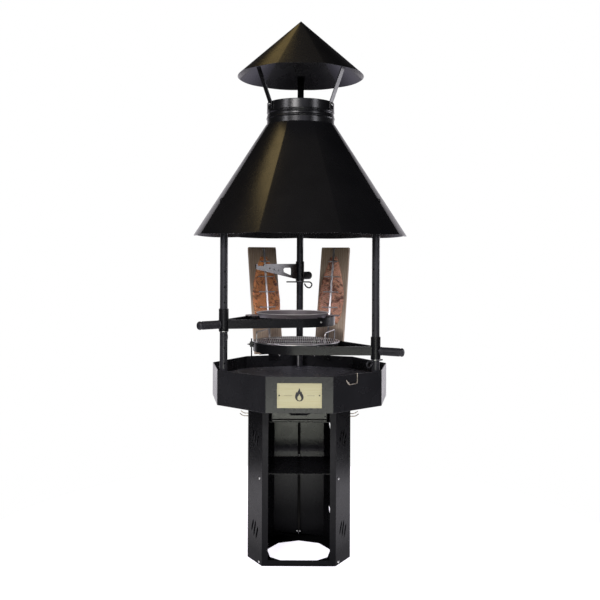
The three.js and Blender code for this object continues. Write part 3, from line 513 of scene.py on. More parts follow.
def seasoned_steel():
    """Seasoned all over, with a painted highlight along the rim."""
    rim_highlight_depth = 0.0026
    f = Finish("seasoned_steel", Metallic=0.35)
    worn = f.noise(11, 6, distortion=0.6)
    seasoned = f.ramp(worn, (0.3, (0.19, 0.165, 0.17)), (0.6, (0.27, 0.24, 0.25)), (0.85, (0.36, 0.33, 0.33)))
    painted_rim_highlight = f.ramp(worn, (0.3, (0.70, 0.67, 0.66)), (0.8, (0.86, 0.83, 0.82)))
    # Painted highlight: a bright band at the rim's height.
    f.colour(f.mix("MIX", f.inside(Z=(high("griddle_pan").z * MM, rim_highlight_depth)), seasoned, painted_rim_highlight))
    f.mottle("Roughness", 40, 4, 0.34, 0.55)
    f.bumps((f.noise(300, 4), 0.2, 0.0004))
    return f.material


def plank_wood():
    """Weathered pine, greyed in places, with painted shade making it darker towards its top."""
    top_shade_from, top_shade_to = 0.95, 1.38
    f = Finish("weathered_plank", Specular_IOR_Level=0.25)
    fibres = f.noise(1, 6, 0.65, place=f.stretched(420, 420, 9))
    rings = f.waves(5.0, 1.4, f.stretched(34, 34, 1.6))
    broad = f.noise(1, 3, place=f.stretched(16, 16, 3))
    base = f.ramp(rings, (0.1, (0.70, 0.53, 0.40)), (0.55, (0.78, 0.62, 0.48)), (0.95, (0.84, 0.70, 0.56)))
    streaks = f.ramp(fibres, (0.3, 0.78), (0.62, 1.0))
    greyed = f.ramp(broad, (0.35, (0.72, 0.70, 0.68)), (0.7, (1.0, 0.98, 0.95)))
    # Painted shade: darker towards the top, where the hood shades the plank.
    top_shade = f.spread(f.coordinate("Z"), top_shade_from, top_shade_to, 0, 1)
    painted_top_shade = f.ramp(top_shade, (0.1, 1), (0.95, (0.55, 0.53, 0.52)))
    weathered = f.mix("MULTIPLY", 1.0, f.mix("MULTIPLY", 1.0, base, streaks), greyed)
    f.colour(f.mix("MULTIPLY", 1.0, weathered, painted_top_shade))
    f.rough(f.ramp(fibres, (0.3, 0.78), (0.8, 0.62)))
    f.bumps((rings, 0.25, 0.0008), (fibres, 0.45, 0.0006))
    return f.material


def roasted_salmon():
    """Orange-brown on the left plank and pinker on the right one, where the lighter tone is painted light; charred
    in patches.
    """
    between = 0.01
    f = Finish("roasted_salmon", Specular_IOR_Level=0.55, Subsurface_Weight=0.08, Subsurface_Scale=0.01)
    flakes = f.waves(3.2, 1.6, f.stretched(60, 60, 52), "DIAGONAL")
    brown = f.ramp(flakes, (0.1, (1.0, 0.44, 0.16)), (0.6, (0.86, 0.31, 0.10)), (0.95, (0.58, 0.17, 0.05)))
    # The right fillet's colour is pinker and also lighter: the lightness is painted light.
    pinker_and_painted_lighter = f.ramp(flakes, (0.1, (1.0, 0.60, 0.42)), (0.6, (0.96, 0.46, 0.30)), (0.95, (0.80, 0.30, 0.18)))
    flesh = f.mix("MIX", f.spread(f.coordinate("X"), -between, between, 0, 1), brown, pinker_and_painted_lighter)
    char = f.ramp(f.noise(34, 6, 0.7, 0.8), (0.41, (0.10, 0.055, 0.05)), (0.50, 1))
    glaze = f.ramp(f.noise(75, 4), (0.35, 0.75), (0.7, 1.0))
    f.colour(f.mix("MULTIPLY", 0.9, f.mix("MULTIPLY", 0.85, flesh, char), glaze))
    f.mottle("Roughness", 60, 4, 0.26, 0.6)
    f.bumps((flakes, 0.5, 0.0015), (f.noise(240, 5), 0.5, 0.001))
    return f.material


MATERIALS = {
    "black_coat": black_coat(),
    # A lighter copy of the powder coat for the posts and pins: its extra colour is painted reflection.
    "post_coat_painted_light": black_coat("post_coat_painted_light", 4.5),
    # A much lighter copy of the powder coat for the brazier's floor and ember grate: a painted reflection.
    "floor_coat_painted_reflection": black_coat("floor_coat_painted_reflection", 20),
    # A lighter copy of the powder coat for the brazier's walls: its extra colour is painted light.
    "bowl_coat_painted_light": black_coat("bowl_coat_painted_light", 2.6, 0.27),
    # A near-black matte used only to paint shade into the drawer's gaps and the rear seam.
    "shade_black": mottled("painted_shade_black", (9, 6, 0.004, (0.014, 0.013, 0.012)), (30, 4, 0.5, 0.78), (500, 4, 0.4, 0.0006),
                    Specular_IOR_Level=0.04),
    "zinc_fasteners": zinc(),
    "hook_wire": mottled("drawn_wire", (60, 5, (0.42, 0.36, 0.28), (0.66, 0.62, 0.56)), (320, 3, 0.28, 0.5),
                         (1200, 2, 0.2, 0.0002), Metallic=1.0),
    "brass_plate": brushed_brass(),
    "grip_rubber": mottled("moulded_rubber", (30, 3, (0.014, 0.014, 0.017), (0.026, 0.026, 0.031)),
                           (90, 4, 0.48, 0.66), (1500, 2, 0.3, 0.0002), Specular_IOR_Level=0.4),
    "pan_steel": seasoned_steel(),
    "stainless_wire": mottled("satin_stainless", (35, 5, (0.58, 0.56, 0.56), (0.78, 0.76, 0.76)),
                              (500, 3, 0.32, 0.46), (1400, 2, 0.15, 0.0002), Metallic=1.0),
    "plank_wood": plank_wood(),
    "salmon": roasted_salmon(),
}
RECORD_SLOT = dict.fromkeys(("post_coat_painted_light", "floor_coat_painted_reflection", "bowl_coat_painted_light", "shade_black"), "black_coat")


# ---------- making pieces ----------

def add_object(name, data):
    obj = bpy.data.objects.new(name, data)
    bpy.context.scene.collection.objects.link(obj)
    return obj


def to_bmesh(shape):
    bm = bmesh.new()
    points = [bm.verts.new(p * MM) for p in shape.points]
    for face in shape.faces:
        corners = [points[i] for i in dict.fromkeys(face)]
        if len(corners) > 2:
            bm.faces.new(corners)
    return bm


def to_mesh(bm, name):
    """The faces as a mesh, with close points joined and every face outward."""
    bmesh.ops.remove_doubles(bm, verts=bm.verts, dist=2e-6)
    bmesh.ops.recalc_face_normals(bm, faces=bm.faces)
    mesh = bpy.data.meshes.new(name)
    bm.to_mesh(mesh)
    bm.free()
    return mesh


def smooth(obj, crisp):
    """Smooth shading that stops at edges of more than crisp degrees."""
    obj.data.shade_smooth()
    obj.data.set_sharp_from_angle(angle=math.radians(crisp))
    obj.modifiers.new("even_normals", "WEIGHTED_NORMAL").keep_sharp = True


def finished(name, bm, body, slot, nodes=(), crisp=40):
    """The faces as a piece of the object, painted, riding on its body and standing for its nodes."""
    obj = add_object(name, to_mesh(bm, name))
    obj.data.materials.append(MATERIALS[slot])
    smooth(obj, crisp)
    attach(obj, body)
    if nodes:
        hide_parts(*nodes)
    return obj


def extra(name, shape, slot, body="root"):
    """A piece that stands for no node."""
    return finished(name, to_bmesh(shape), body, slot)


def piece(node, shape, slot, crisp=40):
    """A shape that stands for a node."""
    return finished(f"{node}_fine", to_bmesh(shape), BODY_OF[node], slot, (node,), crisp)


def refined(node, slot, edge, fold=0):
    """A node's own shape with its edges eased, and its long folds bent round with the fold radius."""
    flat_angle, crisp = 1.2, 42
    bm = bmesh.new()
    bm.from_mesh(frame["nodes"][node].data)
    bmesh.ops.remove_doubles(bm, verts=bm.verts, dist=1e-5)
    bmesh.ops.dissolve_limit(bm, angle_limit=math.radians(flat_angle), verts=bm.verts, edges=bm.edges)

    def bevel(offset, segments, profile, sharper_than, up_to=360, longer_than=0):
        edges = [e for e in bm.edges if len(e.link_faces) == 2 and e.calc_length() > longer_than
                 and sharper_than < math.degrees(e.calc_face_angle(0)) < up_to]
        bmesh.ops.bevel(bm, geom=edges, offset=offset * MM, segments=segments, profile=profile, affect="EDGES",
                        clamp_overlap=True)
    if fold:
        bevel(fold, 4, 0.5, sharper_than=14, up_to=75, longer_than=0.05)
    bevel(edge, 2, 0.6, sharper_than=32)
    return finished(f"{node}_fine", bm, BODY_OF[node], slot, (node,), crisp)


def carved(obj, cutters=(), additions=()):
    """Joins and cuts a piece with closed shapes, exactly, and leaves the result as its mesh."""
    crisp = 35
    obj.modifiers.clear()
    for operation, shapes in (("UNION", additions), ("DIFFERENCE", cutters)):
        for shape in shapes:
            tool = add_object("tool", to_mesh(to_bmesh(shape), "tool"))
            step = obj.modifiers.new("step", "BOOLEAN")
            step.operation, step.solver, step.object = operation, "EXACT", tool
            bpy.context.view_layer.update()
            result = bpy.data.meshes.new_from_object(obj.evaluated_get(bpy.context.evaluated_depsgraph_get()))
            obj.modifiers.clear()
            obj.data = result
            bpy.data.objects.remove(tool)
    smooth(obj, crisp)


def screw_head(radius, height, style):
    """A head on z = 0: a hexagon with a washer face, or a round head with a hexagon socket."""
    if style == "hex":
        return turned([(0, 0), (radius * 1.25, 0), (radius * 1.25, height * 0.2), (radius * 0.98, height * 0.24),
                       (radius, height * 0.26, 1), (radius, height * 0.85, 1), (radius * 0.86, height),
                       (0, height)], 36)
    socket = radius * 0.42
    return turned([(0, 0), (radius, 0), (radius, height * 0.35), (radius * 0.9, height * 0.72),
                   (radius * 0.68, height * 0.95), (socket * 1.12, height, 1), (socket, height * 0.92, 1),
                   (socket, height * 0.3, 1), (0, height * 0.2)], 36)


def shank(radius, length, into_head, tip=0, sides=20):
    """A screw's body under z = 0, reaching into its head, its last millimetre narrowed by tip."""
    end = [(radius - tip, -length), (radius, 1 - length)] if tip else [(radius, -length)]
    return turned([(0, -length), *end, (radius, into_head), (0, into_head)], sides)


# ---------- camera, floor, light ----------

def set_camera():
    distance, height = 3.7186, 1.3239
    focal_share, shift = 821.4041 / 600, -0.0772
    pitch_up, roll = 0.30, 0.25
    data = bpy.data.cameras.new("camera")
    data.sensor_width = 36
    data.lens = data.sensor_width * focal_share
    data.shift_y = shift
    camera = add_object("camera", data)
    camera.matrix_basis = Matrix.Translation((0, -distance, height)) @ turn(90 + pitch_up, "X") @ turn(roll)
    bpy.context.scene.camera = camera


def set_stage():
    """A white round floor, a little less bright next to the object so that its shadow shows there."""
    radius, sides, below = 1.55, 96, 0.0005
    near_glow, far_glow = 0.93, 1.05
    mesh = bpy.data.meshes.new("floor")
    rim = [(radius * math.cos(a), radius * math.sin(a), 0) for a in around(sides)]
    mesh.from_pydata(rim, [], [tuple(range(sides))])
    f = Finish("studio_floor", Specular_IOR_Level=0.2, Roughness=0.6, Emission_Color=(1.0, 0.97, 1.06, 1))
    f.colour(f.ramp(f.noise(0.7, 2), (0.3, (0.80, 0.80, 0.805)), (0.7, 0.83)))
    away = f.node("VectorMath")
    away.operation = "LENGTH"
    f.feed(away.inputs[0], f.place)
    f.shade("Emission_Strength", f.spread(away.outputs["Value"], 0.25, 0.9, near_glow, far_glow))
    mesh.materials.append(f.material)
    floor = add_object("floor", mesh)
    floor.location.z = -below
    floor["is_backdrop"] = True


def set_world():
    """White for the camera. The object reflects a wall behind, a low glow in front, a strip below and a dim roof."""
    world = bpy.data.worlds.new("studio")
    world.use_nodes = True
    world.node_tree.nodes.clear()
    w = Nodes(world.node_tree)
    direction = w.node("SeparateXYZ", Vector=w.node("TexCoord").outputs["Generated"]).outputs

    def along(axis, stops):
        """Colours at values of one coordinate of the direction, which goes from -1 to 1."""
        return w.ramp(w.spread(direction[axis], -1, 1, 0, 1), *[((at + 1) / 2, colour) for at, colour in stops])

    def glow(y_stops, z_stops):
        return w.mix("MULTIPLY", 1, along("Y", y_stops), along("Z", z_stops))
    front = glow([(-0.95, (0.52, 0.51, 0.60)), (-0.86, 0)], [(-0.045, 0), (-0.015, 1), (0.15, 1), (0.25, 0)])
    back = glow([(0.70, 0.008), (0.93, (0.98, 0.94, 1.0))],
                [(-0.35, 0.30), (-0.05, 0.60), (0, 0.90), (0.06, 0.45), (0.25, 0.36), (0.45, 0.05), (0.74, 0.02)])
    under = glow([(0.25, 0), (0.60, (0.40, 0.38, 0.48))], [(-0.45, 1), (-0.32, 0)])
    roof = along("Z", [(0.80, 0), (0.95, (0.04, 0.035, 0.028))])
    light = w.mix("ADD", 1, w.mix("ADD", 1, front, under), w.mix("ADD", 1, back, roof))
    choice = w.node("MixShader", Fac=w.node("LightPath").outputs["Is Camera Ray"])
    unseen, seen = w.node("Background", Color=light, Strength=2.5), w.node("Background", Color=(1, 1, 1, 1))
    for socket, background in zip(choice.inputs[1:], (unseen, seen)):
        w.feed(socket, background.outputs["Background"])
    w.node("OutputWorld", Surface=choice.outputs["Shader"])
    bpy.context.scene.world = world
    bpy.context.scene.view_settings.view_transform = "Standard"


def set_lights():
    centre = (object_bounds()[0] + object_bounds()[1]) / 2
    hood, cabinet, cap, pots = (0, 0, 1.8), (0, 0, 0.7), (0, 0, 2.25), (-0.1, 0.2, 1.3)
    for name, place, target, width, height, power, colour in (
            ("key", (-3.0, -2.5, 2.6), centre, 0.9, 1.6, 40, (0.96, 0.94, 1.0)),
            ("fill", (3.0, -2.5, 2.5), centre, 0.8, 1.6, 36, (0.94, 0.93, 1.0)),
            ("front_high", (-1.2, -3.6, 2.9), centre, 1.0, 0.7, 74, (1.0, 0.97, 0.97)),
            ("low_strip", (0, -4.35, -0.14), cabinet, 2.1, 0.5, 31, (0.97, 1.0, 0.87)),
            ("side_right", (2.7, 1.45, 1.4), pots, 1.0, 0.9, 19, (0.95, 0.93, 1.0)),
            ("gold_hood", (-1.27, -0.2, 3.7), hood, 0.8, 0.8, 7, (1.0, 0.74, 0.32)),
            ("gold_cap", (-0.58, 0.94, 3.9), cap, 0.7, 0.7, 1.5, (1.0, 0.72, 0.28))):
        data = bpy.data.lights.new(name, "AREA")
        data.shape = "RECTANGLE"
        data.size, data.size_y = width, height
        data.energy = power
        data.color = colour
        aim = (Vector(target) - Vector(place)).to_track_quat("-Z", "Y")
        add_object(name, data).matrix_basis = Matrix.Translation(place) @ aim.to_matrix().to_4x4()


# ---------- hood and chimney ----------

HOOD_RIM_RADIUS = 485
HOOD_RIM_Z = 1427
HOOD_TOP_RADIUS = 160
HOOD_TOP_Z = 1921
HOOD_APEX_Z = HOOD_RIM_Z + HOOD_RIM_RADIUS * (HOOD_TOP_Z - HOOD_RIM_Z) / (HOOD_RIM_RADIUS - HOOD_TOP_RADIUS)
HOOD_STEEPNESS = (HOOD_APEX_Z - HOOD_RIM_Z) / HOOD_RIM_RADIUS
HOOD_BOLT_Z = 1572
CREASE_TILT = math.degrees(math.atan(1 / HOOD_STEEPNESS))
COLLAR_RADIUS = 152
# Lowest z, height, bulge and steps of the collar's bead, groove and flat bead.
COLLAR_BANDS = ((1945, 12, 3.1, 8), (1964, 10, -2.8, 8), (1976, 6, 1.2, 6))
CAP_RIM_RADIUS = 287.5
CAP_RIM_Z = 2145
STRUT_SCREW_Z = 2006
POSTS = {
    "left": {"bearing": -60, "pin": "pan_arm_pin", "pin_z": 1002.4, "pin_heading": -70, "holes_below_pin": 2},
    "right": {"bearing": 60, "pin": "grate_arm_pin", "pin_z": 884.5, "pin_heading": -135, "holes_below_pin": 0},
    "rear": {"bearing": 180, "pin": "pot_arm_pin", "pin_z": 1204.6, "pin_heading": 0, "holes_below_pin": 5},
}


def make_collar():
    """A tube with pressed bands, an edge rolled in at its top, and a narrower foot inside the hood's neck."""
    r, neck, top = COLLAR_RADIUS, HOOD_TOP_Z + 0.3, high("chimney_collar").z
    foot, foot_outside, inside = neck - 30, r - 6.2, r - 8.7
    bands = [(r + bulge * math.sin(math.pi * i / steps), lowest + height * i / steps)
             for lowest, height, bulge, steps in COLLAR_BANDS for i in range(steps + 1)]
    lip = [(r, top - 3), (r + 0.4, top - 1.2), (r - 1.2, top), (r - 4, top), (r - 5, top - 1.5)]
    profile = [(foot_outside, foot), (foot_outside, neck - 1), (r - 5.4, neck), (r - 1, neck), (r, neck + 1.5),
               *bands, *lip, (r - 5, 1930), (inside, 1924), (inside, foot)]
    piece("chimney_collar", turned(profile, 144, "loop"), "black_coat")


def make_hood():
    piece("hood", folded_cone(HOOD_RIM_RADIUS, HOOD_RIM_Z, HOOD_APEX_Z, HOOD_TOP_Z), "black_coat")
    apex = high("rain_cap").z
    piece("rain_cap", folded_cone(CAP_RIM_RADIUS, CAP_RIM_Z, apex, apex), "black_coat")
    make_collar()

    strut_thickness = 7.6
    bolt_radius = (HOOD_APEX_Z - HOOD_BOLT_Z) / HOOD_STEEPNESS
    washer = turned([(0, 0.3), (11, 0.3), (11.4, 0.8), (11, 1.6), (0, 1.6)], 32)
    bolt = washer + screw_head(6.6, 4.4, "hex").at(0, 0, 1.4) + shank(3.8, 22, 0.4, tip=0.6)
    screw = screw_head(5.6, 4, "socket") + shank(2.9, 14, 0.2, tip=0.5)
    for side, post in POSTS.items():
        refined(f"cap_strut_{side}", "black_coat", 0.8, fold=3)
        at_collar = radial_frame(COLLAR_RADIUS + strut_thickness, post["bearing"], STRUT_SCREW_Z)
        piece(f"strut_screw_{side}", screw.placed(at_collar), "zinc_fasteners")
        at_crease = radial_frame(bolt_radius, post["bearing"], HOOD_BOLT_Z, CREASE_TILT)
        piece(f"hood_bolt_{side}", bolt.placed(at_crease), "black_coat")


# ---------- posts ----------

POST_RADIUS = 16.85
POST_WALL = 2.6
HOLE_PITCH = 65.25
HOLES_PER_POST = 7


def make_posts():
    """Tubes with a lid that follows the hood's slope, drilled through for the locking pins."""
    under_hood, lid_thickness, slant_reach = 8.5, 3, 50
    slant_stretch = math.hypot(1, HOOD_STEEPNESS)
    drill = turned([(0, -24), (4, -24), (4, 24), (0, 24)], 24).placed(turn(90, "Y"))
    for side, spec in POSTS.items():
        place = on_post(side, 0)
        foot = low(f"post_{side}").z
        lid_z = HOOD_APEX_Z - HOOD_STEEPNESS * place.translation.length - under_hood * slant_stretch
        ceiling_z = lid_z - lid_thickness * slant_stretch
        inner = POST_RADIUS - POST_WALL
        profile = [(0, lid_z), (POST_RADIUS - 0.8, lid_z), (POST_RADIUS, lid_z - 1), (POST_RADIUS, foot + 0.6),
                   (POST_RADIUS - 0.6, foot), (inner, foot), (inner, ceiling_z), (0, ceiling_z)]

        def slanted(p, top=lid_z, out=toward(spec["bearing"])):
            return Vector((p.x, p.y, p.z - HOOD_STEEPNESS * p.dot(out))) if p.z > top - slant_reach else p
        # The posts' lighter coat copy paints in their reflections.
        post = piece(f"post_{side}", turned(profile, 48).bent(slanted).placed(place), "post_coat_painted_light")
        lowest_hole = spec["pin_z"] - spec["holes_below_pin"] * HOLE_PITCH
        holes = [drill.placed(on_post(side, lowest_hole + i * HOLE_PITCH, spec["pin_heading"]))
                 for i in range(HOLES_PER_POST)]
        carved(post, [merged(holes)])


# ---------- brazier ----------

BRAZIER_RADIUS = 406


def make_brazier():
    points, outward = folded_outline(0.016)
    ring = [p * BRAZIER_RADIUS for p in points]
    section = soft_box(-SHEET, 0, low("brazier_walls").z, high("brazier_walls").z, 1.1)
    # The walls' lighter coat copy is painted light.
    piece("brazier_walls", band(ring, outward, section), "bowl_coat_painted_light")
    # The floor and ember grate take the much lighter coat copy: a painted reflection.
    refined("brazier_floor", "floor_coat_painted_reflection", 0.7, fold=2)
    refined("ember_grate", "floor_coat_painted_reflection", 0.7)


def flame_outline():
    """A plain flame: a drop with one side tongue."""
    return soft_outline([(0, -24), (13, -20), (18, -8), (15, 4), (10, 10), (10, 18), (6, 14), (3, 24), (0, 32),
                         (-5, 20), (-10, 12), (-12, 16), (-16, 6), (-18, -6), (-13, -19)], 7, 4)


def make_name_plate():
    """A brass plate with a raised border of two lines, and on it a dark flame with a brass heart between rules."""
    lowest, highest, centre = low("name_plate"), high("name_plate"), middle("name_plate")
    half_width, half_height = (highest.x - lowest.x) / 2, (highest.z - lowest.z) / 2
    thickness = highest.y - lowest.y
    sunk, raised = thickness - 0.1, thickness + 0.45
    place = frame_at((centre.x, highest.y, centre.z), *FACING_FRONT)

    def panel(half_x, half_y, corner, z0, z1):
        return sheet(soft_box(-half_x, half_x, -half_y, half_y, corner, 5), z0, z1, 0.25)

    def border(inset, wide):
        half_x, half_y = half_width - inset, half_height - inset
        path = [Vector((x, y, 0)) for x, y in soft_box(-half_x, half_x, -half_y, half_y, 4, 5)]
        outward = [right_of(run) for run in directions(path, closed=True)]
        return band(path, outward, soft_box(-wide / 2, wide / 2, sunk, raised, 0.2))
    plate = panel(half_width, half_height, 3, 0, thickness) + border(4.5, 1.1) + border(7, 0.5)
    flame = sheet(flame_outline(), sunk, thickness + 0.5, 0.2)
    heart = sheet([(x * 0.45, y * 0.5 - 8) for x, y in flame_outline()], thickness + 0.3, thickness + 0.9, 0.2)
    rules = merged([panel(16, 0.5, 0.3, sunk, raised).at(side * 46, 0, 0) for side in (-1, 1)])
    piece("name_plate", plate.placed(place), "brass_plate")
    extra("name_plate_emblem", (flame + rules).placed(place), "grip_rubber")
    extra("name_plate_emblem_heart", heart.placed(place), "brass_plate")
    screw = screw_head(3.1, 1.6, "socket") + shank(1.6, 6.5, 0.2, sides=16)
    for side in ("left", "right"):
        spot = middle(f"plate_screw_{side}")
        at_plate = frame_at((spot.x, lowest.y - 0.3, spot.z), *FACING_FRONT)
        piece(f"plate_screw_{side}", screw.placed(at_plate), "black_coat")


# ---------- base ----------

BASE_CORNERS = [(133, -185), (158, -185), (227, -70), (227, 19), (120, 204)]
SCREW_Z = {"lower": 12, "upper": 371}


def make_drawer():
    """An open tray behind a face with a hand slot, a lip bent out under the slot, a dark sheet behind the gaps round
    the face as painted shade, and two rivets.
    """
    half, bottom, top, middle_y = 121.5, 626, 691, -185.5
    side_gap, under_gap, over_gap = 4.5, 7, 2.5
    rivet_x, rivet_z = 111, 643
    tray_bottom, tray_floor, tray_rim = 621.5, 623.5, 688
    upright = Matrix.Translation((0, middle_y, 0)) @ turn(90, "X")
    # A dark sheet behind the face, seen through the gaps round it: painted shade.
    gap_shade = sheet(rectangle(-half, half, bottom, top), -1.8, -0.6, 0.3).placed(upright)
    edge, foot, head = half - side_gap, bottom + under_gap, top - over_gap
    face = sheet(rectangle(-edge, edge, foot, head), -2, 2).placed(upright)
    outside, inside = rectangle(-117, 117, -184.4, 136), rectangle(-115, 115, -183.6, 134)
    tray = lofted([[(x, y, z) for x, y in outline] for outline, z in (
        (outside, tray_bottom), (outside, tray_rim), (inside, tray_rim), (inside, tray_floor))])
    slot = sheet([(-43, 652), (43, 652), (52, 664), (-52, 664)], -12, 12, 0.1).placed(upright)
    lip = sheet([(-38, -186), (-35, -201), (35, -201), (38, -186)], 648.5, 651, 0.5)
    carved(piece("ash_drawer", face, "black_coat"), [slot], [tray, lip])
    carved(extra("drawer_gap_shade", gap_shade, "shade_black", BODY_OF["ash_drawer"]), [slot])
    rivet = turned([(0, -1), (3.1, -1), (3.1, 0.4), (2.2, 1.1), (0, 1.4)], 20)
    for side, sign in (("left", -1), ("right", 1)):
        place = frame_at((sign * rivet_x, middle_y - 2, rivet_z), *FACING_FRONT)
        extra(f"drawer_rivet_{side}", rivet.placed(place), "black_coat", BODY_OF["ash_drawer"])


def make_fasteners():
    (px, py), (qx, qy) = BASE_CORNERS[1:3]
    screw = screw_head(5.8, 3.6, "socket").at(0, 0, 1.1) + shank(2.9, 7, 1.4)
    for side, sign in (("left", -1), ("right", 1)):
        outward = Vector((sign * (qy - py), px - qx, 0)).normalized()
        for level, z in SCREW_Z.items():
            spot = middle(f"base_screw_{level}_{side}")
            face = frame_at((spot.x, spot.y, z), (-outward.y, outward.x, 0), outward)
            piece(f"base_screw_{level}_{side}", screw.placed(face), "zinc_fasteners")
    place = frame_at(middle("seam_bolt"), (0, 1, 0), (1, 0, 0))
    half = (high("seam_bolt").x - low("seam_bolt").x) / 2
    nut = screw_head(5.6, 5, "hex").placed(turn(180, "X"))
    bolt = (screw_head(6.2, 4.2, "hex").at(0, 0, half - 4.3) + nut.at(0, 0, 8 - half)
            + shank(3, half, half - 4, tip=0.4, sides=24))
    piece("seam_bolt", bolt.placed(place), "zinc_fasteners")


def make_seam_shade_strips():
    """Near-black strips at the rear seam, above and below the shelf, that paint shade into the seam."""
    half, thickness, y = 4.2, 1.5, 168
    foot, head, clearance = 30, 618, 2
    shelf_bottom, shelf_top = low("storage_shelf").z, high("storage_shelf").z
    for level, z0, z1 in (("lower", foot, shelf_bottom - clearance), ("upper", shelf_top + clearance, head)):
        # Painted shade: near-black strips over the seam.
        extra(f"seam_shade_strip_{level}", sheet(rectangle(-half, half, y, y + thickness), z0, z1, 0.3), "shade_black")


def make_tool_hooks():
    hook_z, hook_radius, front, back = 620, 2.2, -57, 6
    wall = BASE_CORNERS[2][0]
    reach = [(wall - 4 - SHEET, 0), (wall + 23, 0), (wall + 37, 10)]
    for side, sign in (("left", -1), ("right", 1)):
        line = [(sign * x, front, hook_z + up) for x, up in reversed(reach)] \
            + [(sign * x, back, hook_z + up) for x, up in reach]
        piece(f"tool_hooks_{side}", wire(line, hook_radius, 9), "hook_wire")


def make_base():
    for node, edge, fold in (("base_shell_left", 0.6, 2.2), ("base_shell_right", 0.6, 2.2),
                             ("base_floor_ring", 0.6, 1.5), ("storage_shelf", 0.6, 2), ("drawer_housing", 0.5, 0)):
        refined(node, "black_coat", edge, fold)
    make_drawer()
    make_fasteners()
    make_seam_shade_strips()
    make_tool_hooks()


# ---------- swing arms ----------

ARM_REACH = 390
HOOP_RADIUS = 193
GRIP_BORE = 12.9
# Sleeve and grip heights; the grip is (start, end, radius) along the arm's -x.
ARMS = {
    "pan": {"post": "left", "heading": 41.2, "sleeve_z": 1008.8, "grip_z": 29, "grip": (24, 131, 18.5)},
    "grate": {"post": "right", "heading": 151.1, "sleeve_z": 890.9, "grip_z": 35.5, "grip": (24, 128, 18.5)},
    "pot": {"post": "rear", "heading": 237, "sleeve_z": 1211.0, "grip_z": 25, "grip": (24, 88, 20)},
}


def arm_place(arm):
    spec = ARMS[arm]
    return on_post(spec["post"], spec["sleeve_z"], spec["heading"])


def held_place(arm):
    """The middle of what an arm carries, at height 0."""
    centre = arm_place(arm) @ Vector((ARM_REACH, 0, 0))
    return Matrix.Translation((centre.x, centre.y, 0))


def ribbed_grip(start, end, radius):
    """A push-on grip along -x: a flange, a ribbed body and a domed end."""
    rib_pitch, groove = 6, radius - 2.2
    rib_top, flange_top = radius - 0.5, radius + 0.2
    profile = [(GRIP_BORE, start), (rib_top, start), (flange_top, start + 1.2), (flange_top, start + 4),
               (groove, start + 6)]
    for i in range(int((end - start - 26) / rib_pitch)):
        x = start + 10 + i * rib_pitch
        profile += [(groove, x), (rib_top, x + 1), (rib_top, x + 3.2), (groove, x + 4.2)]
    profile += [(groove, end - 12), (radius - 0.4, end - 10), (radius - 0.4, end - 6), (radius - 2.5, end - 2),
                (radius - 6, end), (0, end), (0, end - 8), (GRIP_BORE, end - 8)]
    return turned(profile, 48, "loop").placed(turn(-90, "Y"))


def make_arms():
    for arm, spec in ARMS.items():
        refined(f"{arm}_arm_washer", "zinc_fasteners", 0.4)
        grip = ribbed_grip(*spec["grip"]).at(0, 0, spec["grip_z"]).placed(arm_place(arm))
        piece(f"{arm}_arm_grip", grip, "grip_rubber")
    for node, slot, edge in (("pan_arm_frame", "black_coat", 0.8), ("grate_arm_frame", "black_coat", 0.8),
                             ("pot_arm_blade", "black_coat", 0.8), ("pan_arm_clip", "black_coat", 0.5),
                             ("grate_wing_screw", "zinc_fasteners", 0.5), ("pan_clip_bolt", "zinc_fasteners", 0.5)):
        refined(node, slot, edge)


def make_pan():
    """A pressed pan with a tab on each side, cut with a finger slot."""
    place = held_place("pan")
    floor, rim = low("griddle_pan").z, high("griddle_pan").z
    tab_z, tab_thickness = floor + 13, 4
    bend = tab_z + 10
    puck = turned([(0, floor), (143, floor), (147, floor + 1), (163, bend), (167.2, rim - 2), (167.5, rim - 0.7),
                   (166.6, rim), (0, rim)], 128)
    hollow = turned([(0, floor + 3), (141, floor + 3), (146, floor + 5), (160, bend), (163.4, rim - 1),
                     (164.4, rim + 0.6), (164.4, rim + 5), (0, rim + 5)], 128)
    ear = soft_outline([(150, -34), (206, -28), (217, -16), (217, 16), (206, 28), (150, 34)], 9, 5)
    tab = sheet(ear, tab_z, tab_z + tab_thickness, 0.8)
    slot = [(190, -13), (197, -13), (200, -10), (200, 10), (197, 13), (190, 13), (187, 10), (187, -10)]
    slot_tool = sheet(slot, tab_z - 5, tab_z + 9, 0.1)
    sides = [place @ turn(a) for a in (0, 180)]
    carved(piece("griddle_pan", puck.placed(place), "pan_steel"),
           [hollow.placed(place)] + [slot_tool.placed(side) for side in sides], [tab.placed(side) for side in sides])


